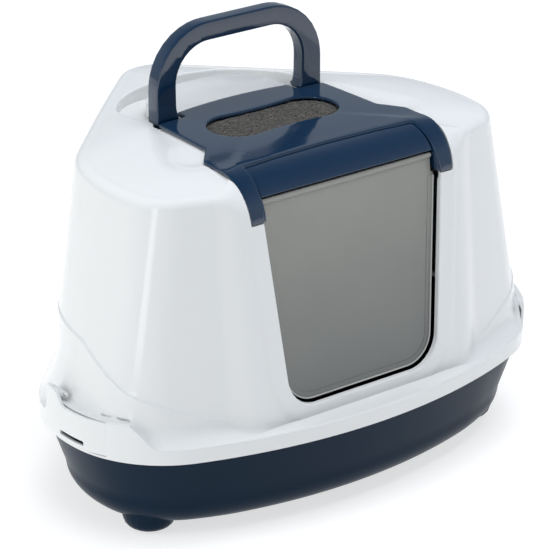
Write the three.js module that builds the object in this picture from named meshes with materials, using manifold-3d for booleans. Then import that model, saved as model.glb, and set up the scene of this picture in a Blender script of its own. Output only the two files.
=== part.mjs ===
// A corner cat litter box: a deep tray on moulded feet, a clip-on hood with a hinged top lid,
// a folding carry handle, a swing door hung from the lid and a charcoal filter under the lid.
// Millimetres, +Z up, front towards -Y. The origin is the middle of the footprint on the floor.
import * as THREE from 'three';
import { mergeVertices } from 'three/addons/utils/BufferGeometryUtils.js';
import Module from 'manifold-3d';

const wasm = await Module();
wasm.setup();

// ---- driving dimensions ----
const FIT = 0.4; // running gap between neighbouring pieces
const SKIN = 2.6; // moulded wall thickness
const CURVE_STEPS = 6; // segments on each curve of an extruded outline
const PIN_SIDES = 12;
const FAR = 600; // longer than anything here, for cutting tools

// Plan outlines are half outlines of six tangent arcs, from the middle of the front to the back.
// The turning angles are shared, so every outline has matching vertices.
const TURN_FRONT = 20.5;
const TURN_CORNER = 60.3;
const TURN_SIDE = 26.4;
const TURN_BACK_WALL = 3;
const BACK_WALL_HEADING = 135;
const ARC_STEPS = [6, 5, 5, 4, 1, 4];
const RIM = { halfWidth: 276, depth: 455, front: -227.5, cornerR: 115.6, flankR: 124.4, backR: 81.9 };
const WALL_LOW = { halfWidth: 264.3, depth: 421.7, front: -205.7, cornerR: 71.5, flankR: 110, backR: 65 };
const WALL_HIGH = { halfWidth: 222.2, depth: 382.2, front: -188, cornerR: 51.2, flankR: 110, backR: 45 };
const WALL_LOW_Z = 130;
const WALL_HIGH_Z = 345;

const TRAY_FLOOR_Z = 11;
const TRAY_EDGE_R = 32;
const TRAY_LEAN_FRONT = 0.25;
const TRAY_LEAN_SIDE = 0.34;
const TRAY_TOP_Z = 108;
const TRAY_RIM_INSET = 5.3;
const TRAY_THICKNESS = 2.8;
const FOOT_R = 27;
const FOOT_PAD_R = 12;
const FOOT_TOP_Z = 30;
const FOOT_SIDES = 20;
const FOOT_PLACES = [[-206, -117], [206, -117], [-96, 92], [96, 92]];

const SKIRT_Z = 96;
const LEDGE_Z = 112;
const LEDGE_RAISED_Z = 134;
const LEDGE_RAISED_FROM_Y = -165;
const LEDGE_RAISED_TO_Y = 20;
const FLARE_TOP_Z = 185;
const TOP_EDGE_Z = 352;
const TOP_EDGE_R = 13;
const TOP_MIDDLE_Z = 362.5;
const BROW_Z = 361.5;
const BROW_R = 42;
const BROW_HALF = 130;
const BROW_FADE = 55;
const CROWN_CENTRE_Y = -25;
const PANEL_SILL_Y = -200; // the flat front panel around the doorway, at the sill
const PANEL_LEAN = 0.113; // how far it leans back per mm of height
const PANEL_HALF = 126;
const PANEL_FADE = 34;
const RAIL_WIDTH = 5; // the hood is twice as thick in a rail this wide under the lid's edge

const DOOR_SILL_Z = 123;
const DOOR_SILL_HALF = 91.5;
const DOOR_SPREAD = 0.0926; // growth of the half width per mm of height
const DOOR_CORNER_R = 35;

const DOOR_PIVOT = [-166.5, 335];
const DOOR_THICKNESS = 2.4;
const DOOR_GAP = 2.5;
const DOOR_TOP_HALF = 100;
const DOOR_BARREL_R = 3;
const DOOR_PIN_R = 1.8;

const LID_PROUD = 2;
const LID_UNDER = -1.2;
const LID_REAR_Y = 18;
const LID_TONGUE_HALF = 70;
const LID_TONGUE_BOW = 5;
const LID_SHOULDER = [103.5, -12];
const LID_REAR_CORNER = [90, -1];
const LID_NOTCH = [106.5, -77.5];
const LID_WING = [126.5, -101];
const LID_LEG_INNER = 104;
const LID_LEG_BOTTOM_Z = 319;
const LID_HINGE = [0, 357];
const LID_PIN_R = 2.2;
const LID_EAR_X = 86.5;
const LID_REAR_GAP = 1.8;
const HATCH_HALF = 92;
const HATCH_FRONT_HALF = 99;
const LID_BAY_Y = -134;
const ROLL_RECESS = 2;
const ROLL_BOTTOM_Z = 341;
const WINDOW_HALF = 75;
const WINDOW_Y = -47.5;
const WINDOW_LOBE_R = 31;
const WINDOW_WAIST = 28;

const HANDLE_Y = 15.5;
const HANDLE_DEPTH = 18.5;
const HANDLE_PIVOT_Z = 354;
const HANDLE_FOOT_Z = 361.5;
const HANDLE_TOP_Z = 460;
const HANDLE_HALF = 104;
const HANDLE_SHOULDER_R = 58;
const HANDLE_INNER_HALF = 79.5;
const HANDLE_INNER_TOP_Z = 437;
const HANDLE_INNER_R = 40;
const HANDLE_PIN_R = 3.5;
const HANDLE_TOE = 4; // room left for the inward flare of each foot
const GROOVE_FLOOR_Z = 342;
const GROOVE_GAP = 2.6;
const GROOVE_FRONT_Y = 7;

const FILTER_TOP_Z = 359.6;
const FILTER_THICKNESS = 8;
const CAGE_HALF = 83;
const CAGE_FRONT_Y = -84;
const CAGE_REAR_Y = -11;

const LATCH_FRONT_Y = -132;
const LATCH_REAR_Y = -42;
const LATCH_STEP_Y = -68;
const LATCH_BOTTOM_Z = 99;
const LATCH_LOW_Z = 133.5;
const LATCH_TALL_Z = 147;
const LATCH_PROUD = 1.5;
const LATCH_INSIDE = -1.6;
const LATCH_PIVOT = [266.8, 141];
const LATCH_PIN_R = 1.8;
const LUG_Y = [-98, -78]; // the tray's catch lug, behind each latch's window

// ---- materials ----
const navyGloss = new THREE.MeshStandardMaterial({ color: 0x17305a, roughness: 0.22, metalness: 0 });
const navySatin = new THREE.MeshStandardMaterial({ color: 0x24374f, roughness: 0.45, metalness: 0 });
const whiteGloss = new THREE.MeshStandardMaterial({ color: 0xe4e5ea, roughness: 0.25, metalness: 0 });
const smokeClear = new THREE.MeshStandardMaterial({ color: 0x85847e, roughness: 0.2, metalness: 0 });
const charcoalFelt = new THREE.MeshStandardMaterial({ color: 0x45423e, roughness: 0.95, metalness: 0 });

// ---- solids ----
function solid(geometry) {
  const bare = geometry.index ? geometry.toNonIndexed() : geometry.clone();
  bare.deleteAttribute('normal');
  bare.deleteAttribute('uv');
  const merged = mergeVertices(bare, 1e-4);
  return new wasm.Manifold(new wasm.Mesh({
    numProp: 3,
    vertProperties: new Float32Array(merged.attributes.position.array),
    triVerts: new Uint32Array(merged.index.array),
  }));
}

function namedMesh(name, shape, material) {
  const data = shape.getMesh();
  const geometry = new THREE.BufferGeometry();
  geometry.setAttribute('position', new THREE.BufferAttribute(data.vertProperties, 3));
  geometry.setIndex(new THREE.BufferAttribute(data.triVerts, 1));
  geometry.computeVertexNormals();
  const mesh = new THREE.Mesh(geometry, material);
  mesh.name = name;
  return mesh;
}

function union(shapes) {
  return shapes.reduce((sum, shape) => sum.add(shape));
}

// A box from its lowest to its highest corner.
function block(low, high) {
  const size = high.map((value, axis) => value - low[axis]);
  const geometry = new THREE.BoxGeometry(...size);
  geometry.translate(...low.map((value, axis) => value + size[axis] / 2));
  return solid(geometry);
}

// A round pin along X, from one x to another, centred on y and z.
function pinAlongX(fromX, toX, y, z, radius) {
  const geometry = new THREE.CylinderGeometry(radius, radius, Math.abs(toX - fromX), PIN_SIDES);
  geometry.rotateZ(Math.PI / 2);
  geometry.translate((fromX + toX) / 2, y, z);
  return solid(geometry);
}

function extruded(shape, depth) {
  return new THREE.ExtrudeGeometry(shape, { depth, bevelEnabled: false, curveSegments: CURVE_STEPS });
}

// A plan shape made into an upright prism between two heights.
function uprightPrism(shape, lowZ, highZ) {
  const geometry = extruded(shape, highZ - lowZ);
  geometry.translate(0, 0, lowZ);
  return solid(geometry);
}

// A shape drawn in front view (x, z) made into a prism between two y values.
function depthPrism(shape, frontY, backY) {
  const geometry = extruded(shape, backY - frontY);
  geometry.rotateX(Math.PI / 2);
  geometry.translate(0, backY, 0);
  return solid(geometry);
}

function mirrored(shape) {
  return shape.mirror([1, 0, 0]);
}

// A symmetrical shape from the points of its right half, front to back or bottom to top.
function mirroredShape(half) {
  const left = half.filter(([x]) => x > 0).map(([x, v]) => [-x, v]).reverse();
  return new THREE.Shape([...half, ...left].map(([x, v]) => new THREE.Vector2(x, v)));
}

// Stacked rings of matching vertices, closed by a fan at each end.
function loft(rings) {
  const count = rings[0].length;
  const positions = rings.flat().flatMap((p) => [p.x, p.y, p.z]);
  const faces = [];
  rings.slice(1).forEach((_, level) => {
    for (let i = 0; i < count; i += 1) {
      const next = (i + 1) % count;
      const low = level * count;
      const high = low + count;
      faces.push(low + i, low + next, high + next, low + i, high + next, high + i);
    }
  });
  const ends = [[rings[0], 0, true], [rings[rings.length - 1], (rings.length - 1) * count, false]];
  ends.forEach(([ring, start, facesDown]) => {
    const middle = ring.reduce((sum, p) => sum.add(p), new THREE.Vector3()).divideScalar(count);
    const centre = positions.length / 3;
    positions.push(middle.x, middle.y, middle.z);
    for (let i = 0; i < count; i += 1) {
      const next = (i + 1) % count;
      faces.push(centre, start + (facesDown ? next : i), start + (facesDown ? i : next));
    }
  });
  const geometry = new THREE.BufferGeometry();
  geometry.setAttribute('position', new THREE.Float32BufferAttribute(positions, 3));
  geometry.setIndex(faces);
  return solid(geometry);
}

// ---- plan outlines ----
const radians = THREE.MathUtils.degToRad;
const mix = THREE.MathUtils.lerp;
const ease = (value, low, high) => THREE.MathUtils.smoothstep(value, low, high);

// Headings at the start of each arc and at the end of the last one.
function headings() {
  const turnFlank = BACK_WALL_HEADING - TURN_BACK_WALL / 2 - TURN_FRONT - TURN_CORNER - TURN_SIDE;
  const turns = [TURN_FRONT, TURN_CORNER, TURN_SIDE, turnFlank, TURN_BACK_WALL];
  const list = [0];
  turns.forEach((turn) => list.push(list[list.length - 1] + radians(turn)));
  return [...list, Math.PI];
}
const HEADINGS = headings();

function arcShift(radius, from, to) {
  return [radius * (Math.sin(to) - Math.sin(from)), radius * (Math.cos(from) - Math.cos(to))];
}

// The front, side and back wall radii that close the outline at its depth and half width.
function solveRadii(form) {
  const quarter = Math.PI / 2;
  const column = (arc) => {
    const from = HEADINGS[arc];
    const to = HEADINGS[arc + 1];
    const [dx, dy] = arcShift(1, from, to);
    const widest = arcShift(1, Math.min(from, quarter), Math.min(to, quarter))[0];
    return [dx, dy, widest];
  };
  const known = [[1, form.cornerR], [3, form.flankR], [5, form.backR]];
  const rest = [0, form.depth, form.halfWidth].map((target, row) => (
    target - known.reduce((sum, [arc, radius]) => sum + column(arc)[row] * radius, 0)));
  const [a, b, c] = [column(0), column(2), column(4)];
  const system = new THREE.Matrix3(a[0], b[0], c[0], a[1], b[1], c[1], a[2], b[2], c[2]);
  const found = new THREE.Vector3(...rest).applyMatrix3(system.invert());
  return [found.x, form.cornerR, found.y, form.flankR, found.z, form.backR];
}

// The closed outline, counterclockwise from the middle of the front, grown outwards by grow.
function outline(form, grow = 0) {
  const radii = solveRadii(form).map((radius) => radius + grow);
  let x = 0;
  let y = form.front - grow;
  const half = [[x, y]];
  radii.forEach((radius, arc) => {
    const [startX, startY] = [x, y];
    for (let step = 1; step <= ARC_STEPS[arc]; step += 1) {
      const heading = mix(HEADINGS[arc], HEADINGS[arc + 1], step / ARC_STEPS[arc]);
      const [dx, dy] = arcShift(radius, HEADINGS[arc], heading);
      x = startX + dx;
      y = startY + dy;
      half.push([x, y]);
    }
  });
  half[half.length - 1][0] = 0;
  const left = half.slice(1, -1).reverse().map(([px, py]) => [-px, py]);
  return [...half, ...left];
}

function wallForm(z) {
  const t = (z - WALL_LOW_Z) / (WALL_HIGH_Z - WALL_LOW_Z);
  const form = {};
  Object.keys(RIM).forEach((key) => {
    form[key] = mix(WALL_LOW[key], WALL_HIGH[key], t);
  });
  return form;
}

function at([x, y], z) {
  return new THREE.Vector3(x, y, z);
}

const rimPlan = outline(RIM);

function rimPrism(grow, lowZ, highZ) {
  const plan = outline(RIM, grow);
  return loft([plan.map((p) => at(p, lowZ)), plan.map((p) => at(p, highZ))]);
}

// ---- hood form ----
// How far a rim vertex belongs to the sides and back, where the wall flares out to the skirt.
function sideShare([x, y]) {
  return Math.max(ease(y, -190, -120), ease(Math.abs(x), 235, 265));
}

function ledgeHeight([x, y]) {
  const lengthwise = ease(y, LEDGE_RAISED_FROM_Y - 6, LEDGE_RAISED_FROM_Y + 6)
    * (1 - ease(y, LEDGE_RAISED_TO_Y, LEDGE_RAISED_TO_Y + 60));
  return mix(LEDGE_Z, LEDGE_RAISED_Z, lengthwise * ease(Math.abs(x), 200, 225));
}

// The brow is the tall, wide rounding of the top front edge that the lid wraps over.
function browShare([x, y]) {
  return y > 0 ? 0 : 1 - ease(Math.abs(x), BROW_HALF, BROW_HALF + BROW_FADE);
}

// The wall is flat around the doorway and bowed beside it.
function panelShare([x, y]) {
  return y > 0 ? 0 : 1 - ease(Math.abs(x), PANEL_HALF, PANEL_HALF + PANEL_FADE);
}

function panelY(z) {
  return PANEL_SILL_Y + PANEL_LEAN * (z - DOOR_SILL_Z);
}

// The solid hood form grown by grow, from a base height up to its crowned top.
function hoodForm(grow, baseZ) {
  const rim = outline(RIM, grow);
  const wallAt = (index, z, inset = 0) => {
    const [x, y] = outline(wallForm(z), grow - inset)[index];
    return [x, mix(y, panelY(z) - grow + inset, panelShare([x, y]))];
  };
  const flareRing = (share) => rimPlan.map((vertex, i) => {
    const ledge = ledgeHeight(vertex) + grow;
    const z = mix(ledge, FLARE_TOP_Z, share);
    const foot = wallAt(i, ledge);
    const reach = sideShare(vertex);
    const wall = wallAt(i, z);
    const kick = (1 - share) ** 2.2;
    return at(wall.map((value, axis) => value + (rim[i][axis] - foot[axis]) * reach * kick * 0.96), z);
  });
  const edgeRing = (angle) => rimPlan.map((vertex, i) => {
    const brow = browShare(vertex);
    const radius = mix(TOP_EDGE_R, BROW_R, brow);
    const top = mix(TOP_EDGE_Z, BROW_Z, brow) + grow;
    const z = top - radius * (1 - Math.sin(angle));
    return at(wallAt(i, z, radius * (1 - Math.cos(angle))), z);
  });
  const topRing = edgeRing(Math.PI / 2);
  const crownRing = (scale) => topRing.map((p) => new THREE.Vector3(
    p.x * scale,
    mix(CROWN_CENTRE_Y, p.y, scale),
    mix(TOP_MIDDLE_Z + grow, p.z, scale ** 4)));
  return loft([
    rim.map((p) => at(p, baseZ)),
    rim.map((p, i) => at(p, ledgeHeight(rimPlan[i]) + grow - 0.5)),
    flareRing(0),
    flareRing(0.35),
    flareRing(0.7),
    flareRing(1),
    edgeRing(0),
    edgeRing(Math.PI / 6),
    edgeRing(Math.PI / 3),
    topRing,
    crownRing(0.8),
    crownRing(0.55),
    crownRing(0.25),
  ]);
}

// ---- plan shapes of the lid, its hatch and the handle groove ----
// The lid's rear edge bows back between the handle's feet.
function tongueArc(grow) {
  const rearY = (x) => LID_REAR_Y + grow - (x / LID_TONGUE_HALF) ** 2 * LID_TONGUE_BOW;
  return [LID_TONGUE_HALF, 48, 24, 0].map((x) => [x, rearY(x)]);
}

function lidPlan(grow) {
  return mirroredShape([
    [0, -FAR],
    [LID_WING[0] + grow, -FAR],
    [LID_WING[0] + grow, LID_WING[1] + grow],
    [LID_NOTCH[0] + grow, LID_NOTCH[1] + grow],
    [LID_SHOULDER[0] + grow, LID_SHOULDER[1] + grow],
    [LID_REAR_CORNER[0] + grow, LID_REAR_CORNER[1] + grow],
    [LID_TONGUE_HALF + grow, LID_REAR_CORNER[1] + grow],
    [LID_TONGUE_HALF + grow, LID_REAR_Y + grow - LID_TONGUE_BOW],
    ...tongueArc(grow).slice(1),
  ]);
}

function hatchPlan() {
  const tongueHalf = LID_TONGUE_HALF + 2.4;
  const backY = GROOVE_FRONT_Y - 3;
  return mirroredShape([
    [0, -FAR],
    [HATCH_FRONT_HALF, -FAR],
    [HATCH_FRONT_HALF, LID_WING[1]],
    [HATCH_HALF, LID_NOTCH[1]],
    [HATCH_HALF, backY],
    [tongueHalf, backY],
    [tongueHalf, LID_REAR_Y + LID_REAR_GAP - LID_TONGUE_BOW],
    ...tongueArc(LID_REAR_GAP).slice(1),
  ]);
}

// The outer or inner edge of the handle's arch, as a front-view path from the left foot to the right.
function archPath(path, half, footZ, topZ, radius) {
  path.moveTo(-half, footZ);
  path.lineTo(-half, topZ - radius);
  path.absarc(-half + radius, topZ - radius, radius, Math.PI, Math.PI / 2, true);
  path.lineTo(half - radius, topZ);
  path.absarc(half - radius, topZ - radius, radius, Math.PI / 2, 0, true);
  path.lineTo(half, footZ);
  return path;
}

// The groove lies where the handle lands when it is folded back, so its plan is the arch laid flat.
function laidY(z) {
  return HANDLE_Y + z - HANDLE_PIVOT_Z;
}

function groovePlan(gap) {
  const frontY = GROOVE_FRONT_Y - (gap - GROOVE_GAP);
  const backY = laidY(HANDLE_TOP_Z) + gap;
  return archPath(new THREE.Shape(), HANDLE_HALF + gap, frontY, backY, HANDLE_SHOULDER_R + gap);
}

function islandPlan(gap) {
  const half = HANDLE_INNER_HALF - HANDLE_TOE - gap;
  const backY = laidY(HANDLE_INNER_TOP_Z) - gap;
  return archPath(new THREE.Shape(), half, -FAR / 4, backY, HANDLE_INNER_R - gap);
}

// ---- pieces ----
// The tray's wall leans in as it goes down, more at the sides, and turns into the floor on a wide radius.
function trayRing(z, wallZ, extra) {
  const deep = outline(RIM, -100);
  return rimPlan.map(([x, y], i) => {
    const lean = mix(TRAY_LEAN_FRONT, TRAY_LEAN_SIDE, ease(Math.abs(x), 150, 250));
    const share = (TRAY_RIM_INSET + lean * Math.max(0, SKIRT_Z + 3 - wallZ) + extra) / 100;
    return at([mix(x, deep[i][0], share), mix(y, deep[i][1], share)], z);
  });
}

function trayForm(wall, topZ) {
  const turnZ = TRAY_FLOOR_Z + TRAY_EDGE_R;
  const radius = TRAY_EDGE_R - wall;
  const edge = [90, 60, 36, 14].map((degrees) => {
    const angle = THREE.MathUtils.degToRad(degrees);
    return trayRing(turnZ - radius * Math.sin(angle), turnZ, wall + radius * (1 - Math.cos(angle)));
  });
  return loft([
    ...edge,
    trayRing(SKIRT_Z - 20, SKIRT_Z - 20, wall),
    trayRing(SKIRT_Z + 3, SKIRT_Z + 3, wall),
    trayRing(topZ, topZ, wall),
  ]);
}

function makeTray() {
  const dome = [[FOOT_PAD_R, 0], [FOOT_R * 0.8, 3], [FOOT_R, 12], [FOOT_R + 1, FOOT_TOP_Z]];
  const footProfile = [[0, 0], ...dome, [0, FOOT_TOP_Z]];
  const foot = new THREE.LatheGeometry(footProfile.map(([r, z]) => new THREE.Vector2(r, z)), FOOT_SIDES);
  foot.rotateX(Math.PI / 2);
  const feet = FOOT_PLACES.map(([x, y]) => solid(foot.clone().translate(x, y, 0)));
  const lugBand = rimPrism(-2.6, SKIRT_Z + 5, SKIRT_Z + 8.5).subtract(rimPrism(-TRAY_RIM_INSET - 1, 0, FAR));
  const lugs = lugBand.intersect(sideZone(LUG_Y[0], LUG_Y[1], 0, FAR));
  const bowl = union([trayForm(0, TRAY_TOP_Z), ...feet]).subtract(trayForm(TRAY_THICKNESS, TRAY_TOP_Z + 5));
  return bowl.add(lugs);
}

function sideZone(fromY, toY, lowZ, highZ) {
  return block([-FAR, fromY, lowZ], [FAR, toY, highZ]);
}

// The hood's recess for both side latches, with room above the hinge for the tab to turn.
function latchPockets() {
  const band = (inside, zone) => rimPrism(8, 0, FAR).subtract(rimPrism(inside, -1, FAR + 1)).intersect(zone);
  return union([
    band(-2.1, sideZone(LATCH_FRONT_Y - 1, LATCH_REAR_Y + 1, 0, LATCH_LOW_Z + 2.5)),
    band(-9, sideZone(LATCH_STEP_Y - 3, LATCH_REAR_Y + 1, LATCH_LOW_Z - 1, LATCH_TALL_Z + 4)),
    band(-9, sideZone(-101, -75, 0, LATCH_BOTTOM_Z + 9)),
  ]);
}

// The thick part of the hood behind the latches: a backing strip, and a block for the hinge above it.
function latchBlocks(outer) {
  const strip = (inside, lowZ, highZ) => rimPrism(0.5, SKIRT_Z, FAR)
    .subtract(rimPrism(inside, 0, FAR))
    .intersect(sideZone(LATCH_FRONT_Y - 4, LATCH_REAR_Y + 5, lowZ, highZ))
    .intersect(outer);
  return strip(-4.7, SKIRT_Z, LEDGE_Z).add(strip(-13, LEDGE_Z - 2, LATCH_TALL_Z + 8));
}

// The groove that takes the folded handle: its own solid, and the walls and floor around it.
function grooveBody(gap, floorZ) {
  return uprightPrism(groovePlan(gap), floorZ, FAR).subtract(uprightPrism(islandPlan(gap), 0, FAR));
}

function grooveLiner(outer) {
  return outer.intersect(uprightPrism(groovePlan(GROOVE_GAP + SKIN), GROOVE_FLOOR_Z - SKIN, FAR))
    .subtract(uprightPrism(islandPlan(GROOVE_GAP + SKIN), 0, FAR));
}

// The blocks under the hood's top that hold the lid's pins and the handle's pins.
function hingeBosses(outer) {
  const lidBoss = block(
    [HATCH_HALF, LID_HINGE[0] - 6, LID_HINGE[1] - 5.5],
    [HATCH_HALF + 8, LID_HINGE[0] + 5, LID_HINGE[1] + 3]);
  const handleBoss = block(
    [HANDLE_HALF + 3, HANDLE_Y - 7, HANDLE_PIVOT_Z - 8],
    [HANDLE_HALF + 8, HANDLE_Y + 7, HANDLE_PIVOT_Z + 6]);
  const right = lidBoss.add(handleBoss).intersect(outer);
  return right.add(mirrored(right));
}

function hingeHoles() {
  const lidHole = pinAlongX(HATCH_HALF - 1, HATCH_HALF + 6, LID_HINGE[0], LID_HINGE[1], LID_PIN_R + FIT);
  const handleHole = pinAlongX(HANDLE_HALF, HANDLE_HALF + 9, HANDLE_Y, HANDLE_PIVOT_Z, HANDLE_PIN_R + FIT);
  const right = union([lidHole, handleHole, latchPinShape(0.5, 1.2)]);
  return right.add(mirrored(right));
}

// The step that the lid lies in, and the deeper flat behind it that the hinge ears turn in.
function lidRebate() {
  const step = hoodForm(9, 200).subtract(hoodForm(-1.7, 199))
    .intersect(uprightPrism(lidPlan(0.6), LID_LEG_BOTTOM_Z - 0.6, FAR));
  const rear = block([-HANDLE_HALF, LID_SHOULDER[1] - 1, 360.2], [HANDLE_HALF, GROOVE_FRONT_Y, FAR]);
  const earFlat = block([-HATCH_HALF, LID_REAR_CORNER[1] - 1, 358], [HATCH_HALF, GROOVE_FRONT_Y, FAR]);
  return union([step, rear, earFlat]);
}

function makeHood() {
  const outer = hoodForm(0, SKIRT_Z);
  const shell = outer.subtract(hoodForm(-SKIN, SKIRT_Z - 6));
  const rail = outer.subtract(hoodForm(-SKIN * 2, 200))
    .intersect(uprightPrism(lidPlan(RAIL_WIDTH), 250, FAR));
  const doorway = depthPrism(doorwayShape(0, FAR / 1.5), -FAR, LID_BAY_Y + 20);
  return union([shell, rail, latchBlocks(outer), grooveLiner(outer), hingeBosses(outer)])
    .subtract(grooveBody(GROOVE_GAP, GROOVE_FLOOR_Z))
    .subtract(uprightPrism(hatchPlan(), 250, FAR))
    .subtract(doorway)
    .subtract(lidRebate())
    .subtract(hingeHoles())
    .subtract(latchPockets());
}

// The doorway and the door share one outline: spreading sides and round bottom corners.
function doorwayShape(inset, topZ) {
  const sill = DOOR_SILL_Z + inset;
  const half = (z) => DOOR_SILL_HALF - inset + DOOR_SPREAD * (z - DOOR_SILL_Z);
  const radius = DOOR_CORNER_R - inset;
  const side = half(sill + radius);
  const shape = new THREE.Shape();
  shape.moveTo(0, sill);
  shape.lineTo(side - radius, sill);
  shape.absarc(side - radius, sill + radius, radius, -Math.PI / 2, 0, false);
  shape.lineTo(half(topZ), topZ);
  shape.lineTo(-half(topZ), topZ);
  shape.lineTo(-side, sill + radius);
  shape.absarc(-side + radius, sill + radius, radius, -Math.PI, -Math.PI / 2, false);
  return shape;
}

function windowPlan(grow) {
  const lobe = WINDOW_HALF - WINDOW_LOBE_R;
  const radius = WINDOW_LOBE_R + grow;
  const waist = WINDOW_WAIST + grow;
  const shape = new THREE.Shape();
  shape.absarc(lobe, WINDOW_Y, radius, -Math.PI / 2, Math.PI / 2, false);
  shape.quadraticCurveTo(0, WINDOW_Y + 2 * waist - radius, -lobe, WINDOW_Y + radius);
  shape.absarc(-lobe, WINDOW_Y, radius, Math.PI / 2, Math.PI * 1.5, false);
  shape.quadraticCurveTo(0, WINDOW_Y - 2 * waist + radius, lobe, WINDOW_Y - radius);
  return shape;
}

// The ears that carry the lid's hinge pins, under its rear corners. This is the right one.
function lidHinge() {
  const [hingeY, hingeZ] = LID_HINGE;
  const lowZ = hingeZ - 3.5;
  const outerX = LID_EAR_X + 2.6;
  const arm = block([LID_EAR_X, hingeY - 11, lowZ], [outerX, LID_REAR_CORNER[1], 362]);
  const knuckle = block([LID_EAR_X, LID_REAR_CORNER[1] - 1, lowZ], [outerX, hingeY + 3.2, hingeZ + 3]);
  return union([arm, knuckle, pinAlongX(LID_EAR_X + 1, HATCH_HALF + 4, hingeY, hingeZ, LID_PIN_R)]);
}

// The lid is a skin over the hood's top and brow, with a leg down each side of the doorway.
function makeLid() {
  const skin = hoodForm(LID_PROUD, 200).subtract(hoodForm(LID_UNDER, 199));
  const plan = uprightPrism(lidPlan(0), LID_LEG_BOTTOM_Z, FAR);
  const bay = block([-LID_LEG_INNER, -FAR, 0], [LID_LEG_INNER, LID_BAY_Y, FAR]);
  const rollHalf = LID_LEG_INNER + 0.5;
  const roll = hoodForm(LID_PROUD - ROLL_RECESS, 200).subtract(hoodForm(LID_UNDER - ROLL_RECESS, 199))
    .intersect(block([-rollHalf, -FAR, ROLL_BOTTOM_Z], [rollHalf, LID_BAY_Y + 3, FAR]));
  const [pivotY, pivotZ] = DOOR_PIVOT;
  const cheek = hoodForm(LID_PROUD, 200)
    .intersect(block([LID_LEG_INNER - 2.2, -FAR, pivotZ - 5], [LID_LEG_INNER + 0.6, LID_BAY_Y - 8, FAR]))
    .subtract(pinAlongX(LID_LEG_INNER - 4, LID_LEG_INNER + 4, pivotY, pivotZ, DOOR_PIN_R + FIT));
  const hinge = lidHinge();
  return union([skin.intersect(plan).subtract(bay), roll, cheek, mirrored(cheek), hinge, mirrored(hinge)])
    .subtract(uprightPrism(windowPlan(0), 300, FAR));
}

function makeHandle() {
  const footZ = HANDLE_FOOT_Z;
  const arch = archPath(new THREE.Shape(), HANDLE_HALF, footZ, HANDLE_TOP_Z, HANDLE_SHOULDER_R);
  const innerTopZ = HANDLE_INNER_TOP_Z;
  const reach = archPath(new THREE.Shape(), HANDLE_INNER_HALF, footZ - 1, innerTopZ, HANDLE_INNER_R);
  const front = HANDLE_Y - HANDLE_DEPTH / 2;
  const back = front + HANDLE_DEPTH;
  const bar = depthPrism(arch, front, back).subtract(depthPrism(reach, front - 1, back + 1));
  const toe = handleToe(front);
  const neck = block([86, HANDLE_Y - 6, 349], [98, HANDLE_Y + 6, HANDLE_FOOT_Z + 2]);
  const pin = pinAlongX(97, HANDLE_HALF + 6, HANDLE_Y, HANDLE_PIVOT_Z, HANDLE_PIN_R);
  return union([bar, toe, mirrored(toe), neck, mirrored(neck), pin, mirrored(pin)]);
}

// The small inward flare at the bottom of the right leg.
function handleToe(front) {
  const toe = new THREE.Shape();
  const tipX = HANDLE_INNER_HALF - HANDLE_TOE - 1;
  toe.moveTo(HANDLE_INNER_HALF + 1, HANDLE_FOOT_Z);
  toe.lineTo(HANDLE_INNER_HALF + 1, HANDLE_FOOT_Z + 22);
  toe.quadraticCurveTo(HANDLE_INNER_HALF - 1, HANDLE_FOOT_Z + 6, tipX, HANDLE_FOOT_Z);
  return depthPrism(toe, front, front + HANDLE_DEPTH);
}

// The door hangs from two pins behind the roll and leans with the front panel.
function makeDoor() {
  const [pivotY, pivotZ] = DOOR_PIVOT;
  const lean = new THREE.Matrix4().set(
    1, 0, 0, 0,
    0, 1, PANEL_LEAN, pivotY + DOOR_THICKNESS / 2 - PANEL_LEAN * pivotZ,
    0, 0, 1, 0,
    0, 0, 0, 1);
  const geometry = extruded(doorwayShape(DOOR_GAP, pivotZ), DOOR_THICKNESS);
  geometry.rotateX(Math.PI / 2);
  geometry.applyMatrix4(lean);
  const trim = block([DOOR_TOP_HALF, -FAR, LID_LEG_BOTTOM_Z - 6], [FAR, FAR, FAR]);
  const barrel = pinAlongX(-DOOR_TOP_HALF, DOOR_TOP_HALF, pivotY, pivotZ, DOOR_BARREL_R);
  const pins = pinAlongX(-LID_LEG_INNER + 0.6, LID_LEG_INNER - 0.6, pivotY, pivotZ, DOOR_PIN_R);
  return union([solid(geometry).subtract(trim.add(mirrored(trim))), barrel, pins]);
}

function makeFilterPad() {
  return uprightPrism(windowPlan(3.5), FILTER_TOP_Z - FILTER_THICKNESS, FILTER_TOP_Z);
}

// An open grid tray that holds the filter against the underside of the lid.
function makeFilterCage() {
  const floorTop = FILTER_TOP_Z - FILTER_THICKNESS - FIT;
  const wall = 2;
  const body = block([-CAGE_HALF, CAGE_FRONT_Y, floorTop - wall], [CAGE_HALF, CAGE_REAR_Y, FILTER_TOP_Z - 1]);
  const room = block(
    [-CAGE_HALF + wall, CAGE_FRONT_Y + wall, floorTop],
    [CAGE_HALF - wall, CAGE_REAR_Y - wall, FAR]);
  const slotPitch = 24;
  const slots = [-3, -2, -1, 0, 1, 2, 3].map((column) => (
    block([column * slotPitch - 8, CAGE_FRONT_Y + 9, 0], [column * slotPitch + 8, CAGE_REAR_Y - 9, FAR])));
  return body.subtract(room).subtract(union(slots));
}

// The hinge pin of the right latch, or with spare room the hole for it.
function latchPinShape(spare, radiusSpare) {
  const radius = LATCH_PIN_R + radiusSpare;
  const length = LATCH_REAR_Y - LATCH_STEP_Y + 3 + 2 * spare;
  const geometry = new THREE.CylinderGeometry(radius, radius, length, PIN_SIDES);
  geometry.translate(LATCH_PIVOT[0], (LATCH_REAR_Y + LATCH_STEP_Y) / 2, LATCH_PIVOT[1]);
  return solid(geometry);
}

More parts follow.
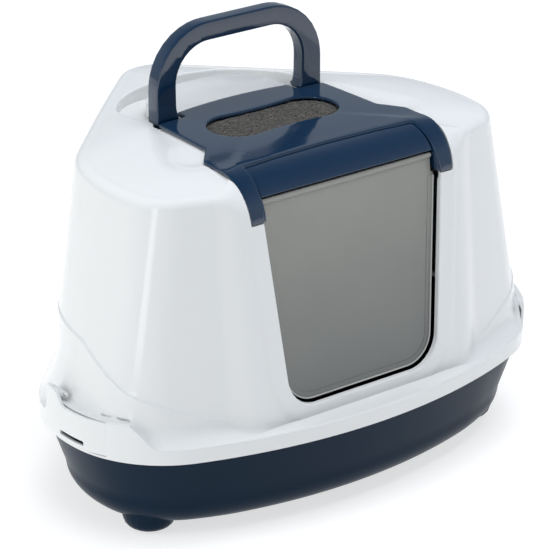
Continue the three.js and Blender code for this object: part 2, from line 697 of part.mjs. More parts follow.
// A latch is a strip of the rim's own curve: a tall hinged tab at the back and a low clip in front.
function makeLatch() {
  const band = rimPrism(LATCH_PROUD, 0, FAR).subtract(rimPrism(LATCH_INSIDE, -1, FAR + 1));
  const low = block([0, LATCH_FRONT_Y, LATCH_BOTTOM_Z], [FAR, LATCH_REAR_Y, LATCH_LOW_Z]);
  const tall = block([0, LATCH_STEP_Y, LATCH_LOW_Z - 1], [FAR, LATCH_REAR_Y, LATCH_TALL_Z]);
  const slot = block([0, -106, 103], [FAR, -70, 107.5]);
  const arms = rimPrism(0, LATCH_PIVOT[1] - 2.5, LATCH_PIVOT[1] + 2.5)
    .intersect(block([LATCH_PIVOT[0] - 1, LATCH_STEP_Y + 1, 0], [FAR, LATCH_REAR_Y - 1, FAR]));
  return band.intersect(low.add(tall)).subtract(slot).add(arms).add(latchPinShape(0, 0));
}

const litterBox = new THREE.Group();
const latch = makeLatch();
litterBox.add(namedMesh('base_tray', makeTray(), navySatin));
litterBox.add(namedMesh('hood_shell', makeHood(), whiteGloss));
litterBox.add(namedMesh('flip_lid', makeLid(), navyGloss));
litterBox.add(namedMesh('carry_handle', makeHandle(), navyGloss));
litterBox.add(namedMesh('swing_door', makeDoor(), smokeClear));
litterBox.add(namedMesh('filter_cage', makeFilterCage(), navyGloss));
litterBox.add(namedMesh('filter_pad', makeFilterPad(), charcoalFelt));
litterBox.add(namedMesh('side_latch_right', latch, whiteGloss));
litterBox.add(namedMesh('side_latch_left', mirrored(latch), whiteGloss));

export default litterBox;
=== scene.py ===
"""The looks of a corner cat litter box: gloss hood, flip lid, carry handle, swing door, filter and tray.

Sizes are in millimetres, as in the part's own source, and become metres when a mesh is made.
"""
import math

import bpy
import numpy as np
from mathutils import Matrix, Vector, geometry


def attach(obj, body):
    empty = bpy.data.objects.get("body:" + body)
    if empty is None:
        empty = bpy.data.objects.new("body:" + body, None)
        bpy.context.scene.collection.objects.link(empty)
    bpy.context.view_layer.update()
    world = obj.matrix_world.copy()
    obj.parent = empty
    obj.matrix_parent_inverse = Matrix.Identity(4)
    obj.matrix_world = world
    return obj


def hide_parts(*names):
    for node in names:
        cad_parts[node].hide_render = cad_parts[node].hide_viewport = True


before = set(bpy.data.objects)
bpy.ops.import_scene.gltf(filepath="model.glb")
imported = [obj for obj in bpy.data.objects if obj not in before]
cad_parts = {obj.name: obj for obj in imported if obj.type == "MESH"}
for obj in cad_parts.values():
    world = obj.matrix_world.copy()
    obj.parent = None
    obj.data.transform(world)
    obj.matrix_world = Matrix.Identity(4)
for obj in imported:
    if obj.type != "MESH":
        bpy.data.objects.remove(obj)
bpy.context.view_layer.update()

MM = 0.001
QUARTER_TURN, FULL_TURN = math.pi / 2, 2 * math.pi
SHARP_ANGLE = math.radians(38)
PIN_SIDES = 32

# ---- plan outlines: half outlines of six tangent arcs, front to back, with shared turning angles ----
TURNS = (20.5, 60.3, 26.4, 26.3, 3.0, 43.5)
FINE_STEPS = (84, 40, 56, 16, 30, 18)
COARSE_STEPS = (18, 10, 12, 6, 6, 6)
RIM = {"half": 276, "depth": 455, "front": -227.5, "corner": 115.6, "flank": 124.4, "back": 81.9}
WALL_LOW = {"half": 264.3, "depth": 421.7, "front": -205.7, "corner": 71.5, "flank": 110, "back": 65}
WALL_HIGH = {"half": 222.2, "depth": 382.2, "front": -188, "corner": 51.2, "flank": 110, "back": 45}
WALL_LOW_Z, WALL_HIGH_Z = 130, 345

# ---- hood ----
SKIRT_Z, LEDGE_Z, LEDGE_RAISED_Z = 96, 112, 134
LEDGE_RAISED_Y, LEDGE_SIDE_X = (-164, -52), (200, 225)
LEDGE_FRONT_RAMP, LEDGE_REAR_RAMP = 11, 26
# the crease that sweeps up each side: distances along the wall from the middle of the front, and heights
CREASE_AT = (90, 180, 264, 330, 386)
CREASE_Z = (113, 134, 164, 199, 204)
CREASE_PROUD, CREASE_STEP, CREASE_LEAST = 1.8, 2.6, 8
CREASE_FADE, CREASE_FULL = (10, 40), (10, 30)
RAISED_FLAT = 0.85
FLARE_FROM, FLARE_TO, FLARE_KICK = 112, 178, 0.97
SCOOP = 0.035
TOP_EDGE_Z, TOP_EDGE_R, TOP_MIDDLE_Z = 352, 9.5, 362.5
BROW_Z, BROW_R, BROW_HALF, BROW_FADE = 361.5, 42, 130, 36
CROWN_CENTRE_Y = -25
PANEL_SILL_Y, PANEL_LEAN, PANEL_HALF, PANEL_FADE = -200, 0.113, 126, 34
DOOR_SILL_Z, DOOR_SILL_HALF, DOOR_SPREAD, DOOR_CORNER_R = 123, 91.5, 0.0926, 35
DOORWAY_EDGE_R = 1.6
MARGIN_WIDTH, MARGIN_PROUD, MARGIN_SOFT = 20, 1.6, 2.5
JAMB_DEPTH, JAMB_BACK = 3.2, 0.9
SKIN = 2.6
SCALLOP_START, SCALLOP_END = (101.0, 8.0), (124.0, -84.0)
SCALLOP_DEPTH, SCALLOP_BACKING = 3.2, 3.0
GROOVE_LIP_R, ISLAND_LIP_R, LIP_TURN = 2.5, 1.5, math.radians(78)
ISLAND_FRONT_Y, ISLAND_BASE_Z = -100.0, 300.0
HATCH_BASE_Z, HATCH_GAP, ABOVE_TOP_Z = 250.0, 1.8, 420.0
REBATE_TOP = 9

# ---- lid, handle, door, filter ----
LID_PROUD, LID_UNDER = 2, -1.2
LID_REAR_Y, LID_TONGUE_BOW, LID_TONGUE_HALF = 25, 5, 70
LID_LEG_BOTTOM_Z, LID_LEG_HALF = 319, 124.4
LID_GAP = 0.8
LID_REAR_HALF, LID_CORNER_Y = 103.5, 4.5
BAY_Y, BAY_BOW = -134, 5
ROLL_HALF, ROLL_RECESS, ROLL_BOTTOM_Z = 105.5, 2.2, 341
LEG_WALL_X = 109.2
WINDOW_HALF, WINDOW_Y, WINDOW_LOBE_R, WINDOW_WAIST = 75, -47.5, 31, 28
HANDLE_Y, HANDLE_DEPTH, HANDLE_PIVOT_Z, HANDLE_FOOT_Z, HANDLE_TOP_Z = 15.5, 18.5, 354, 359.8, 457
HANDLE_HALF, HANDLE_SHOULDER_R = 103, 64
HANDLE_INNER_HALF, HANDLE_INNER_TOP_Z, HANDLE_INNER_R = 79.5, 437, 40
GROOVE_FLOOR_Z, GROOVE_GAP, GROOVE_FRONT_Y, HANDLE_TOE = 342, 2.6, 7, 4
DOOR_PIVOT_Y, DOOR_PIVOT_Z, DOOR_GAP, DOOR_THICKNESS, DOOR_TOP_HALF = -166.5, 335, 2.1, 2.4, 104.4
DOOR_NOTCH_Z = 317
FILTER_TOP_Z, FILTER_THICKNESS = 359.6, 8
FELT_CROWN = 2.4

# ---- tray ----
TRAY_FLOOR_Z, TRAY_TOP_Z, TRAY_RIM_INSET, TRAY_THICKNESS = 11, 108, 5.3, 2.8
TRAY_EDGE_R, TRAY_LEAN_FRONT, TRAY_LEAN_SIDE = 32, 0.25, 0.34
FOOT_R, FOOT_PAD_R, FOOT_TOP_Z = 27, 12, 30
FOOT_PLACES = ((-206, -117), (206, -117), (-96, 92), (96, 92))

# ---- side latches ----
LATCH_Y = (-132, -42)
LATCH_STEP_Y = -68
LATCH_Z = (99, 133.5, 147)
LATCH_PROUD, LATCH_INSIDE = 1.5, -1.6
LATCH_SLOT_LOW, LATCH_SLOT_HIGH = (-106, 103), (-70, 107.5)
LATCH_HINGE_X, LATCH_HINGE_Z = 266.8, 141
LATCH_SINK = 26
LEDGE_SLOT_INSET, LEDGE_SLOTS_Y = 10.5, ((-130, -117), (-148, -134))

# ---- camera, in metres, and floor, in millimetres ----
CAMERA_PLACE = (-1.59307, -2.15226, 1.33600)
CAMERA_AHEAD = (0.55430, 0.73111, -0.39777)
CAMERA_LENS = 184.05
FLOOR_HALF = 6000.0


def smooth(value, low, high):
    t = np.clip((value - low) / (high - low), 0, 1)
    return t * t * (3 - 2 * t)


def mix(a, b, t):
    return a + (b - a) * t


def level(outline, z):
    """The outline's points at height z, which is one number or one for each point."""
    return np.column_stack([outline, np.broadcast_to(z, len(outline))])


# ======== outlines ========
class Plan:
    """Closed outlines whose vertices share headings, so that two outlines mix vertex by vertex."""

    def __init__(self, steps):
        ends = np.radians(np.concatenate([[0], np.cumsum(TURNS)]))
        rows, headings = [np.zeros((2, 6))], [0.0]
        start = np.zeros((2, 6))
        for arc, count in enumerate(steps):
            for step in range(1, count + 1):
                heading = mix(ends[arc], ends[arc + 1], step / count)
                row = start.copy()
                row[:, arc] = self.shift(ends[arc], heading)
                rows.append(row)
                headings.append(heading)
            start = rows[-1]
        self.ends = ends
        self.half = np.array(rows)
        self.normal = self.both(np.column_stack([np.sin(headings), -np.cos(headings)]))
        self.count = len(self.normal)

    @staticmethod
    def shift(start, end):
        return np.array([math.sin(end) - math.sin(start), math.cos(start) - math.cos(end)])

    @staticmethod
    def both(half):
        """The right half and its mirror image as one closed ring."""
        left = half[1:-1][::-1].copy()
        left[:, 0] *= -1
        return np.vstack([half, left])

    def radii(self, form):
        """The front, side and back wall radii follow from the outline's depth and half width."""
        def column(arc):
            start, end = self.ends[arc], self.ends[arc + 1]
            across = self.shift(min(start, QUARTER_TURN), min(end, QUARTER_TURN))[0]
            return np.array([*self.shift(start, end), across])

        known = {1: form["corner"], 3: form["flank"], 5: form["back"]}
        rest = np.array([0, form["depth"], form["half"]], float)
        rest -= sum(column(arc) * radius for arc, radius in known.items())
        front, side, back_wall = np.linalg.solve(np.column_stack([column(0), column(2), column(4)]), rest)
        return np.array([front, known[1], side, known[3], back_wall, known[5]])

    def outline(self, form, grow=0.0):
        half = self.half @ (self.radii(form) + grow)
        half[:, 1] += form["front"] - grow
        half[0, 0] = half[-1, 0] = 0
        return self.both(half)

    def along(self, form):
        """Distance of each vertex along the wall from the middle of the front."""
        half = self.half @ self.radii(form)
        steps = np.linalg.norm(np.diff(half, axis=0), axis=1)
        s = np.concatenate([[0], np.cumsum(steps)])
        return np.concatenate([s, s[1:-1][::-1]])


FINE = Plan(FINE_STEPS)
COARSE = Plan(COARSE_STEPS)


def panel_y(z):
    return PANEL_SILL_Y + PANEL_LEAN * (z - DOOR_SILL_Z)


def doorway_distance(x, z):
    """How far a point of the front panel lies outside the doorway's edge."""
    u = np.abs(x) - DOOR_SILL_HALF - DOOR_SPREAD * (z - DOOR_SILL_Z) + DOOR_CORNER_R
    v = DOOR_SILL_Z - z + DOOR_CORNER_R
    return np.hypot(np.maximum(u, 0), np.maximum(v, 0)) + np.minimum(np.maximum(u, v), 0) - DOOR_CORNER_R


def ledge_height(rim):
    """Height of the rim's ledge, which is raised beside the latches."""
    front, rear = LEDGE_RAISED_Y
    lengthwise = smooth(rim[:, 1], front - LEDGE_FRONT_RAMP, front + LEDGE_FRONT_RAMP)
    lengthwise = lengthwise * (1 - smooth(rim[:, 1], rear, rear + LEDGE_REAR_RAMP))
    return mix(LEDGE_Z, LEDGE_RAISED_Z, lengthwise * smooth(np.abs(rim[:, 0]), *LEDGE_SIDE_X))


def front_share(points, half, fade):
    """1 at the middle of the front, fading to 0 beyond the given half width."""
    return np.where(points[:, 1] > 0, 0, 1 - smooth(np.abs(points[:, 0]), half, half + fade))


def scallop_depth(x, y):
    """The shallow finger recess in the hood's top beside the lid's edge."""
    start, end = np.array(SCALLOP_START), np.array(SCALLOP_END)
    axis = end - start
    ax = np.abs(x)
    t = np.clip(((ax - start[0]) * axis[0] + (y - start[1]) * axis[1]) / (axis @ axis), 0, 1)
    away = np.hypot(ax - start[0] - t * axis[0], y - start[1] - t * axis[1])
    outer = mix(5, 31, t ** 0.8)
    inner = mix(2, 8, t)
    return SCALLOP_DEPTH * smooth(outer - away, 0, outer - inner)


def corner(a, b, c, distance, count=6):
    """Rings that round the corner at ring b, between rings a and c."""
    before, after = a - b, c - b
    length_before = np.linalg.norm(before, axis=1, keepdims=True) + 1e-9
    length_after = np.linalg.norm(after, axis=1, keepdims=True) + 1e-9
    trim = np.minimum(distance, 0.45 * np.minimum(length_before, length_after * 1.8))
    first, last = b + before / length_before * trim, b + after / length_after * trim
    return [mix(mix(first, b, t), mix(b, last, t), t) for t in np.linspace(0, 1, count)]


class HoodForm:
    """The hood's outer form grown by grow, as stacked rings from its skirt to the middle of its top."""

    def __init__(self, plan, grow=0.0, details=True):
        self.plan, self.grow, self.details = plan, grow, details
        self.low = plan.outline(WALL_LOW)
        self.high = plan.outline(WALL_HIGH)
        self.rim = plan.outline(RIM, grow)
        self.rim_plain = plan.outline(RIM)
        self.s = plan.along(WALL_LOW)

    def wall(self, z, inset=0.0):
        z = np.broadcast_to(np.asarray(z, float), (self.plan.count,))
        t = (z - WALL_LOW_Z) / (WALL_HIGH_Z - WALL_LOW_Z)
        points = self.low + t[:, None] * (self.high - self.low)
        points = points + np.atleast_1d(self.grow - inset)[:, None] * self.plan.normal
        y = mix(points[:, 1], panel_y(z) - self.grow + inset, front_share(points, PANEL_HALF, PANEL_FADE))
        if self.details:
            beyond = doorway_distance(points[:, 0], z) - MARGIN_WIDTH
            y = y - MARGIN_PROUD * (1 - smooth(beyond, -MARGIN_SOFT, MARGIN_SOFT)) * (points[:, 1] < -100)
        return np.column_stack([points[:, 0], y])

    def flare_foot(self):
        return ledge_height(self.rim_plain) + self.grow

    def flare_height(self):
        """How far the crease lies above the ledge."""
        sweep = smooth(self.s, CREASE_AT[0], CREASE_AT[-1])
        above = self.flare_foot() + CREASE_LEAST * np.clip(sweep * 8, 0.2, 1)
        return np.maximum(np.interp(self.s, CREASE_AT, CREASE_Z), above) - self.flare_foot()

    def flare(self, share):
        """The wall below the crease: share is 0 at the ledge and 1 at the crease."""
        ledge, height = self.flare_foot(), self.flare_height()
        z = ledge + height * share
        raised = (ledge - self.grow - LEDGE_Z) / (LEDGE_RAISED_Z - LEDGE_Z)
        reach = smooth(self.s, FLARE_FROM, FLARE_TO) * (1 - RAISED_FLAT * raised)
        foot = self.wall(ledge)
        kick = (reach * (1 - share) ** 4 * FLARE_KICK)[:, None]
        drop = height * (1 - share)
        step = CREASE_PROUD * smooth(drop, 0, CREASE_STEP)
        step = step * (1 - smooth(drop, *CREASE_FADE)) * smooth(height, *CREASE_FULL)
        scoop = SCOOP * height * 4 * share * (1 - share) - step * self.details
        points = self.wall(z) + (self.rim - foot) * kick - scoop[:, None] * self.plan.normal
        return level(points, z)

    def near_crease(self, drop):
        """The share at which the flare is a small drop below the crease."""
        return 1 - drop / np.maximum(self.flare_height(), 20)

    def edge(self, angle):
        """The rounded top edge: angle is 0 on the wall and a quarter turn at the top."""
        brow = front_share(self.rim_plain, BROW_HALF, BROW_FADE)
        radius = mix(TOP_EDGE_R, BROW_R, brow)
        top = mix(TOP_EDGE_Z, BROW_Z, brow) + self.grow
        z = top - radius * (1 - math.sin(angle))
        return level(self.wall(z, radius * (1 - math.cos(angle))), z)

    def crown(self, scale):
        """The top inside its edge: scale is 1 at the edge and 0 at the middle."""
        top = self.edge(QUARTER_TURN)
        x = top[:, 0] * scale
        y = mix(CROWN_CENTRE_Y, top[:, 1], scale)
        z = mix(TOP_MIDDLE_Z + self.grow, top[:, 2], scale ** 4)
        if self.details:
            z = z - scallop_depth(x, y)
        else:
            z = z - SCALLOP_BACKING * smooth(1 - scale, 0, 0.15)
        return np.column_stack([x, y, z])

    def rings(self, base_z):
        skirt = level(self.rim, base_z)
        shoulder = level(self.rim, self.flare_foot())
        foot = self.flare(0.0)
        flare_count, wall_count, edge_count, crown_count = (22, 44, 12, 34) if self.details else (6, 4, 5, 5)
        drops = (6, 4.4, 3.2, 2.4, 1.8, 1.2, 0.6, 0) if self.details else (0,)
        shares = [share * self.near_crease(drops[0]) for share in np.linspace(0, 1, flare_count)[1:] ** 1.3]
        rings = [skirt]
        if self.details:
            rings += [mix(skirt, shoulder, t) for t in (0.3, 0.6)]
            rings += corner(skirt, shoulder, foot, 2.2)
            rings += corner(shoulder, foot, self.flare(shares[1]), 4.0)
        else:
            rings += [shoulder, foot]
        rings += [self.flare(share) for share in shares[1:]]
        rings += [self.flare(self.near_crease(drop)) for drop in drops[1:]]
        crease, edge = self.flare(1.0), self.edge(0.0)
        for t in np.linspace(0, 1, wall_count + 1)[1:-1]:
            z = mix(crease[:, 2], edge[:, 2], t)
            rings.append(level(self.wall(z), z))
        rings += [self.edge(angle) for angle in np.linspace(0, QUARTER_TURN, edge_count)]
        return rings + [self.crown(scale) for scale in 1 - np.linspace(0, 1, crown_count + 1)[1:] * 0.97]

    def top_height(self):
        """A function giving the height of the crown above any point of the top."""
        top = self.edge(QUARTER_TURN)
        offset = top[:, :2] - np.array([0, CROWN_CENTRE_Y])
        angle = np.arctan2(offset[:, 1], offset[:, 0])
        order = np.argsort(angle)
        angle, reach, edge_z = angle[order], np.linalg.norm(offset, axis=1)[order], top[order, 2]

        def height(x, y):
            here = np.arctan2(y - CROWN_CENTRE_Y, x)
            share = np.hypot(x, y - CROWN_CENTRE_Y) / np.interp(here, angle, reach, period=FULL_TURN)
            z = mix(TOP_MIDDLE_Z + self.grow, np.interp(here, angle, edge_z, period=FULL_TURN), share ** 4)
            return z - scallop_depth(x, y)

        return height


top_height = HoodForm(FINE).top_height()


# ======== meshes ========
def make_object(name, points, faces, scale=MM):
    """A new object in the scene, from points in millimetres unless scale says otherwise."""
    mesh = bpy.data.meshes.new(name)
    mesh.from_pydata((np.asarray(points) * scale).tolist(), [], [list(map(int, face)) for face in faces])
    mesh.validate()
    mesh.update()
    piece = bpy.data.objects.new(name, mesh)
    bpy.context.scene.collection.objects.link(piece)
    return piece


def ring_faces(count, first, second):
    """Quads between two rings of the same vertex count, given their first vertex numbers."""
    i = np.arange(count)
    j = (i + 1) % count
    return np.column_stack([first + i, first + j, second + j, second + i]).tolist()


def loft(name, rings):
    """A closed solid of stacked rings with a fan at each end."""
    count = len(rings[0])
    points = np.vstack(rings + [rings[0].mean(0)[None], rings[-1].mean(0)[None]])
    faces = []
    for level in range(len(rings) - 1):
        faces += ring_faces(count, level * count, (level + 1) * count)
    bottom, top = len(points) - 2, len(points) - 1
    last = (len(rings) - 1) * count
    for i in range(count):
        j = (i + 1) % count
        faces += [[bottom, j, i], [top, last + i, last + j]]
    return make_object(name, points, faces)


def applied(piece):
    """Makes the piece's modifiers part of its mesh."""
    bpy.context.view_layer.update()
    evaluated = piece.evaluated_get(bpy.context.evaluated_depsgraph_get())
    mesh = bpy.data.meshes.new_from_object(evaluated)
    piece.modifiers.clear()
    piece.data = mesh
    return piece


def carve(piece, tool, operation="DIFFERENCE"):
    cut = piece.modifiers.new("cut", "BOOLEAN")
    cut.operation = operation
    cut.solver = "MANIFOLD"
    cut.object = tool
    applied(piece)
    bpy.data.objects.remove(tool)
    return piece


def join(name, pieces):
    """Several meshes as one piece, without merging their surfaces."""
    points, faces, start = [], [], 0
    for piece in pieces:
        points += [v.co[:] for v in piece.data.vertices]
        faces += [[start + v for v in p.vertices] for p in piece.data.polygons]
        start = len(points)
        bpy.data.objects.remove(piece)
    return make_object(name, points, faces, 1.0)


def mirrored(piece, name):
    points = np.array([v.co[:] for v in piece.data.vertices]) * (-1, 1, 1)
    faces = [list(p.vertices)[::-1] for p in piece.data.polygons]
    return make_object(name, points, faces, 1.0)


def finished(piece, material, body, slot, *nodes):
    """Shading, material and body of a finished piece that stands for CAD nodes, which it hides; slot is not
    used.
    """
    for polygon in piece.data.polygons:
        polygon.use_smooth = True
    piece.data.set_sharp_from_angle(angle=SHARP_ANGLE)
    piece.data.materials.clear()
    piece.data.materials.append(material)
    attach(piece, body)
    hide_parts(*nodes)
    return piece


# ---- flat outlines ----
def rounded(corners, spacing=3.0):
    """A closed outline through (x, y, radius) corners, with arcs at the corners and even steps between."""
    points = np.array([c[:2] for c in corners], float)
    radii = np.array([c[2] for c in corners], float)
    after = np.roll(points, -1, 0) - points
    length = np.linalg.norm(after, axis=1)
    after /= length[:, None]
    before = np.roll(after, 1, 0)
    turns = np.arccos(np.clip(np.sum(before * after, 1), -1, 1))
    trims = np.where(radii > 0, radii * np.tan(turns / 2), 0)
    room = length / np.maximum(trims + np.roll(trims, -1), 1e-9)
    trims *= np.minimum(1, 0.98 * np.minimum(room, np.roll(room, 1)))
    outline = []
    for here, u, v, turn, trim in zip(points, -before, after, turns, trims):
        if trim <= 0 or turn < 1e-3:
            outline.append(here)
            continue
        count = max(2, int(math.degrees(turn) / 9))
        first, last = here + u * trim, here + v * trim
        radius = trim / math.tan(turn / 2)
        centre = here + (u + v) / np.linalg.norm(u + v) * math.hypot(radius, trim)
        for t in np.linspace(0, 1, count + 1):
            d = mix(first, last, t) - centre
            outline.append(centre + d / np.linalg.norm(d) * radius)
    return resampled(np.array(outline), spacing)


def resampled(outline, spacing):
    points = []
    for i, here in enumerate(outline):
        after = outline[(i + 1) % len(outline)]
        count = max(1, int(math.ceil(np.linalg.norm(after - here) / spacing)))
        points += [mix(here, after, t) for t in np.arange(count) / count]
    return np.array(points)


def mirror(corners):
    """The mirror image of a run of corners, in the opposite order, without those on the middle line."""
    return [(-x, v, radius) for x, v, radius in corners[::-1] if abs(x) > 1e-6]


def full_outline(right, spacing=2.5):
    """The outline through the right half's corners, from the bottom up, and their mirror image."""
    return rounded(right + mirror(right), spacing)


def rectangle(low, high, radius, spacing, top_radius=None):
    """A rectangle between two opposite corners, rounded by radius, and by top_radius where its top differs."""
    top_radius = radius if top_radius is None else top_radius
    return rounded([(low[0], low[1], radius), (high[0], low[1], radius),
                    (high[0], high[1], top_radius), (low[0], high[1], top_radius)], spacing)


def rounding(radius, turn, count):
    """Steps (outward, downward) of a rounded edge, from the side it starts on to its top."""
    return [(radius * (1 - math.cos(a)), radius * (1 - math.sin(a))) for a in np.linspace(0, turn, count)]


def area_of(outline):
    x, y = outline.T
    return 0.5 * np.sum(x * np.roll(y, -1) - np.roll(x, -1) * y)


def inset(outline, distance):
    """The outline moved to its left by distance, corner by corner."""
    after = np.roll(outline, -1, 0) - outline
    after /= np.linalg.norm(after, axis=1, keepdims=True)
    before = np.roll(after, 1, 0)
    normal = np.column_stack([-(after + before)[:, 1], (after + before)[:, 0]])
    normal /= np.maximum(np.linalg.norm(normal, axis=1, keepdims=True), 1e-9)
    cosine = np.clip(np.sum(normal * np.column_stack([-after[:, 1], after[:, 0]]), 1), 0.5, 1)
    return outline + normal * (distance / cosine)[:, None]


def inside(points, outline):
    """Which of the points lie inside the outline, by counting the edges that each row crosses."""
    x, y = points[:, 0:1], points[:, 1:2]
    ax, ay = outline.T
    bx, by = np.roll(ax, -1), np.roll(ay, -1)
    crosses = (ay > y) != (by > y)
    with np.errstate(divide="ignore", invalid="ignore"):
        at = (bx - ax) * (y - ay) / (by - ay) + ax
    return (np.sum(crosses & (x < at), axis=1) % 2).astype(bool)


def grid_points(outer, holes, border, grid):
    """Staggered grid points inside the outer loop and outside its holes, clear of their vertices."""
    low, high = outer.min(0), outer.max(0)
    xs, ys = (np.arange(low[k] + grid / 2, high[k], grid) for k in (0, 1))
    points = [(x + (grid / 2 if row % 2 else 0), y) for row, y in enumerate(ys) for x in xs]
    points = np.array(points).reshape(-1, 2)
    keep = inside(points, outer)
    for hole in holes:
        keep &= ~inside(points, hole)
    points = points[keep]
    near = np.array([np.min(np.hypot(*(border - point).T)) for point in points])
    return points[near > grid * 0.55]


def fill(loops, grid):
    """Triangles over the area between an outer loop and its holes, with grid points inside it."""
    outer, holes = loops[0], loops[1:]
    border = np.vstack(loops)
    points = np.vstack([border, grid_points(outer, holes, border, grid)])
    edges, start = [], 0
    for loop in loops:
        edges += [(start + i, start + (i + 1) % len(loop)) for i in range(len(loop))]
        start += len(loop)
    made = geometry.delaunay_2d_cdt([Vector(point) for point in points], edges, [], 1, 1e-7)
    source = [origin[0] if origin else None for origin in made[3]]
    faces = []
    for face in made[2]:
        ids = [source[v] for v in face]
        if None in ids:
            continue
        middle = points[ids].mean(0)[None]
        if inside(middle, outer)[0] and not any(inside(middle, hole)[0] for hole in holes):
            faces.append(ids)
    return points, faces


def plate(name, outline, place, thickness, radius, grid=5.0, holes=(), back_radius=None, steps=5):
    """A closed plate with rounded edges. place(u, v, depth) puts its points in space, depth 0 on its face."""
    back_radius = radius if back_radius is None else back_radius
    loops = [outline if area_of(outline) > 0 else outline[::-1]]
    loops += [hole if area_of(hole) < 0 else hole[::-1] for hole in holes]
    stages = [(down, out) for out, down in rounding(radius, QUARTER_TURN, steps + 1)]
    stages += [(out, thickness - down) for out, down in rounding(back_radius, QUARTER_TURN, steps + 1)]
    front, front_faces = fill([inset(loop, radius) for loop in loops], grid)
    back, back_faces = fill([inset(loop, back_radius) for loop in loops], grid)
    points, starts, at = [level(front, 0)], [0], len(front)
    for distance, depth in stages[1:-1]:
        points.append(level(np.vstack([inset(loop, distance) for loop in loops]), depth))
        starts.append(at)
        at += len(points[-1])
    points.append(level(back, thickness))
    starts.append(at)
    faces = front_faces + [[at + v for v in face[::-1]] for face in back_faces]
    for upper, lower in zip(starts[:-1], starts[1:]):
        offset = 0
        for loop in loops:
            faces += ring_faces(len(loop), lower + offset, upper + offset)
            offset += len(loop)
    return make_object(name, place(*np.vstack(points).T), faces)


def at_height(z):
    return lambda u, v, depth: np.column_stack([u, v, z - depth])


def facing_front(y):
    """A plate drawn in front view (x, z), with its face at y and its thickness running back."""
    return lambda u, v, depth: np.column_stack([u, y + depth, v])


def facing_right(x):
    """A plate drawn in side view (y, z), with its face at x and its thickness running to the left."""
    return lambda u, v, depth: np.column_stack([x - depth, u, v])


def box(name, low, high, radius=0.4):
    outline = rectangle(low, high, 0, 50)
    return plate(name, outline, at_height(high[2]), high[2] - low[2], radius, grid=60, steps=2)


def side_box(name, side, low, high, radius=0.4):
    """A box given by its corners on the right (side 1), or its mirror image on the left (side -1)."""
    left, right = sorted((side * low[0], side * high[0]))
    return box(name, (left, *low[1:]), (right, *high[1:]), radius)


def pin(name, start, end, radius):
    """A round pin between two points, with small chamfers."""
    start, end = np.array(start, float), np.array(end, float)
    axis = (end - start) / np.linalg.norm(end - start)
    side = np.cross(axis, (0, 0, 1)) if abs(axis[2]) < 0.9 else np.cross(axis, (1, 0, 0))
    side /= np.linalg.norm(side)
    turn = np.linspace(0, FULL_TURN, PIN_SIDES, endpoint=False)[:, None]
    circle = np.cos(turn) * side + np.sin(turn) * np.cross(axis, side)
    trim = min(0.4, radius * 0.2)
    rings = [start + circle * (radius - trim), start + axis * trim + circle * radius,
             end - axis * trim + circle * radius, end + circle * (radius - trim)]
    return loft(name, rings)


# ======== plan shapes ========
def window_outline(grow):
    """The lid's window: two round lobes joined by a narrower waist."""
    lobe, radius, waist = WINDOW_HALF - WINDOW_LOBE_R, WINDOW_LOBE_R + grow, WINDOW_WAIST + grow
    turn = np.linspace(-QUARTER_TURN, QUARTER_TURN, 26)
    half = [(lobe + radius * math.cos(a), WINDOW_Y + radius * math.sin(a)) for a in turn]
    half += [(lobe * t, WINDOW_Y + mix(waist, radius, t * t)) for t in np.linspace(1, -1, 32)[1:-1]]
    return resampled(np.array(half + [(-x, 2 * WINDOW_Y - y) for x, y in half]), 2.5)


def doorway_half(z, grow):
    """Half the doorway's width at height z, grown by grow."""
    return DOOR_SILL_HALF + grow + DOOR_SPREAD * (z - DOOR_SILL_Z)


def doorway_outline(grow, top_z, spacing=3.0):
    sill = DOOR_SILL_Z - grow
    corners = [(doorway_half(sill, grow), sill, DOOR_CORNER_R + grow), (doorway_half(top_z, grow), top_z, 0)]
    return full_outline(corners, spacing)


def groove_outline(gap, spacing=2.5):
    """The arch in plan that the folded handle lies in."""
    half, front_y = HANDLE_HALF + gap, GROOVE_FRONT_Y - gap + GROOVE_GAP
    back_y = HANDLE_Y + HANDLE_TOP_Z - HANDLE_PIVOT_Z + gap
    return full_outline([(half, front_y, 0), (half, back_y, HANDLE_SHOULDER_R + gap)], spacing)


def island_outline(gap, spacing=2.5):
    """The part of the hood's top that stands inside the groove's arch."""
    half = HANDLE_INNER_HALF - HANDLE_TOE - gap
    back_y = HANDLE_Y + HANDLE_INNER_TOP_Z - HANDLE_PIVOT_Z - gap
    return full_outline([(half, ISLAND_FRONT_Y, 0), (half, back_y, HANDLE_INNER_R - gap)], spacing)


def tongue(grow):
    """The curved rear edge of the lid's tongue, from its right end to the middle."""
    xs = np.linspace(LID_TONGUE_HALF, 0, 12)
    return [(x, LID_REAR_Y + grow - (x / LID_TONGUE_HALF) ** 2 * LID_TONGUE_BOW, 0) for x in xs]


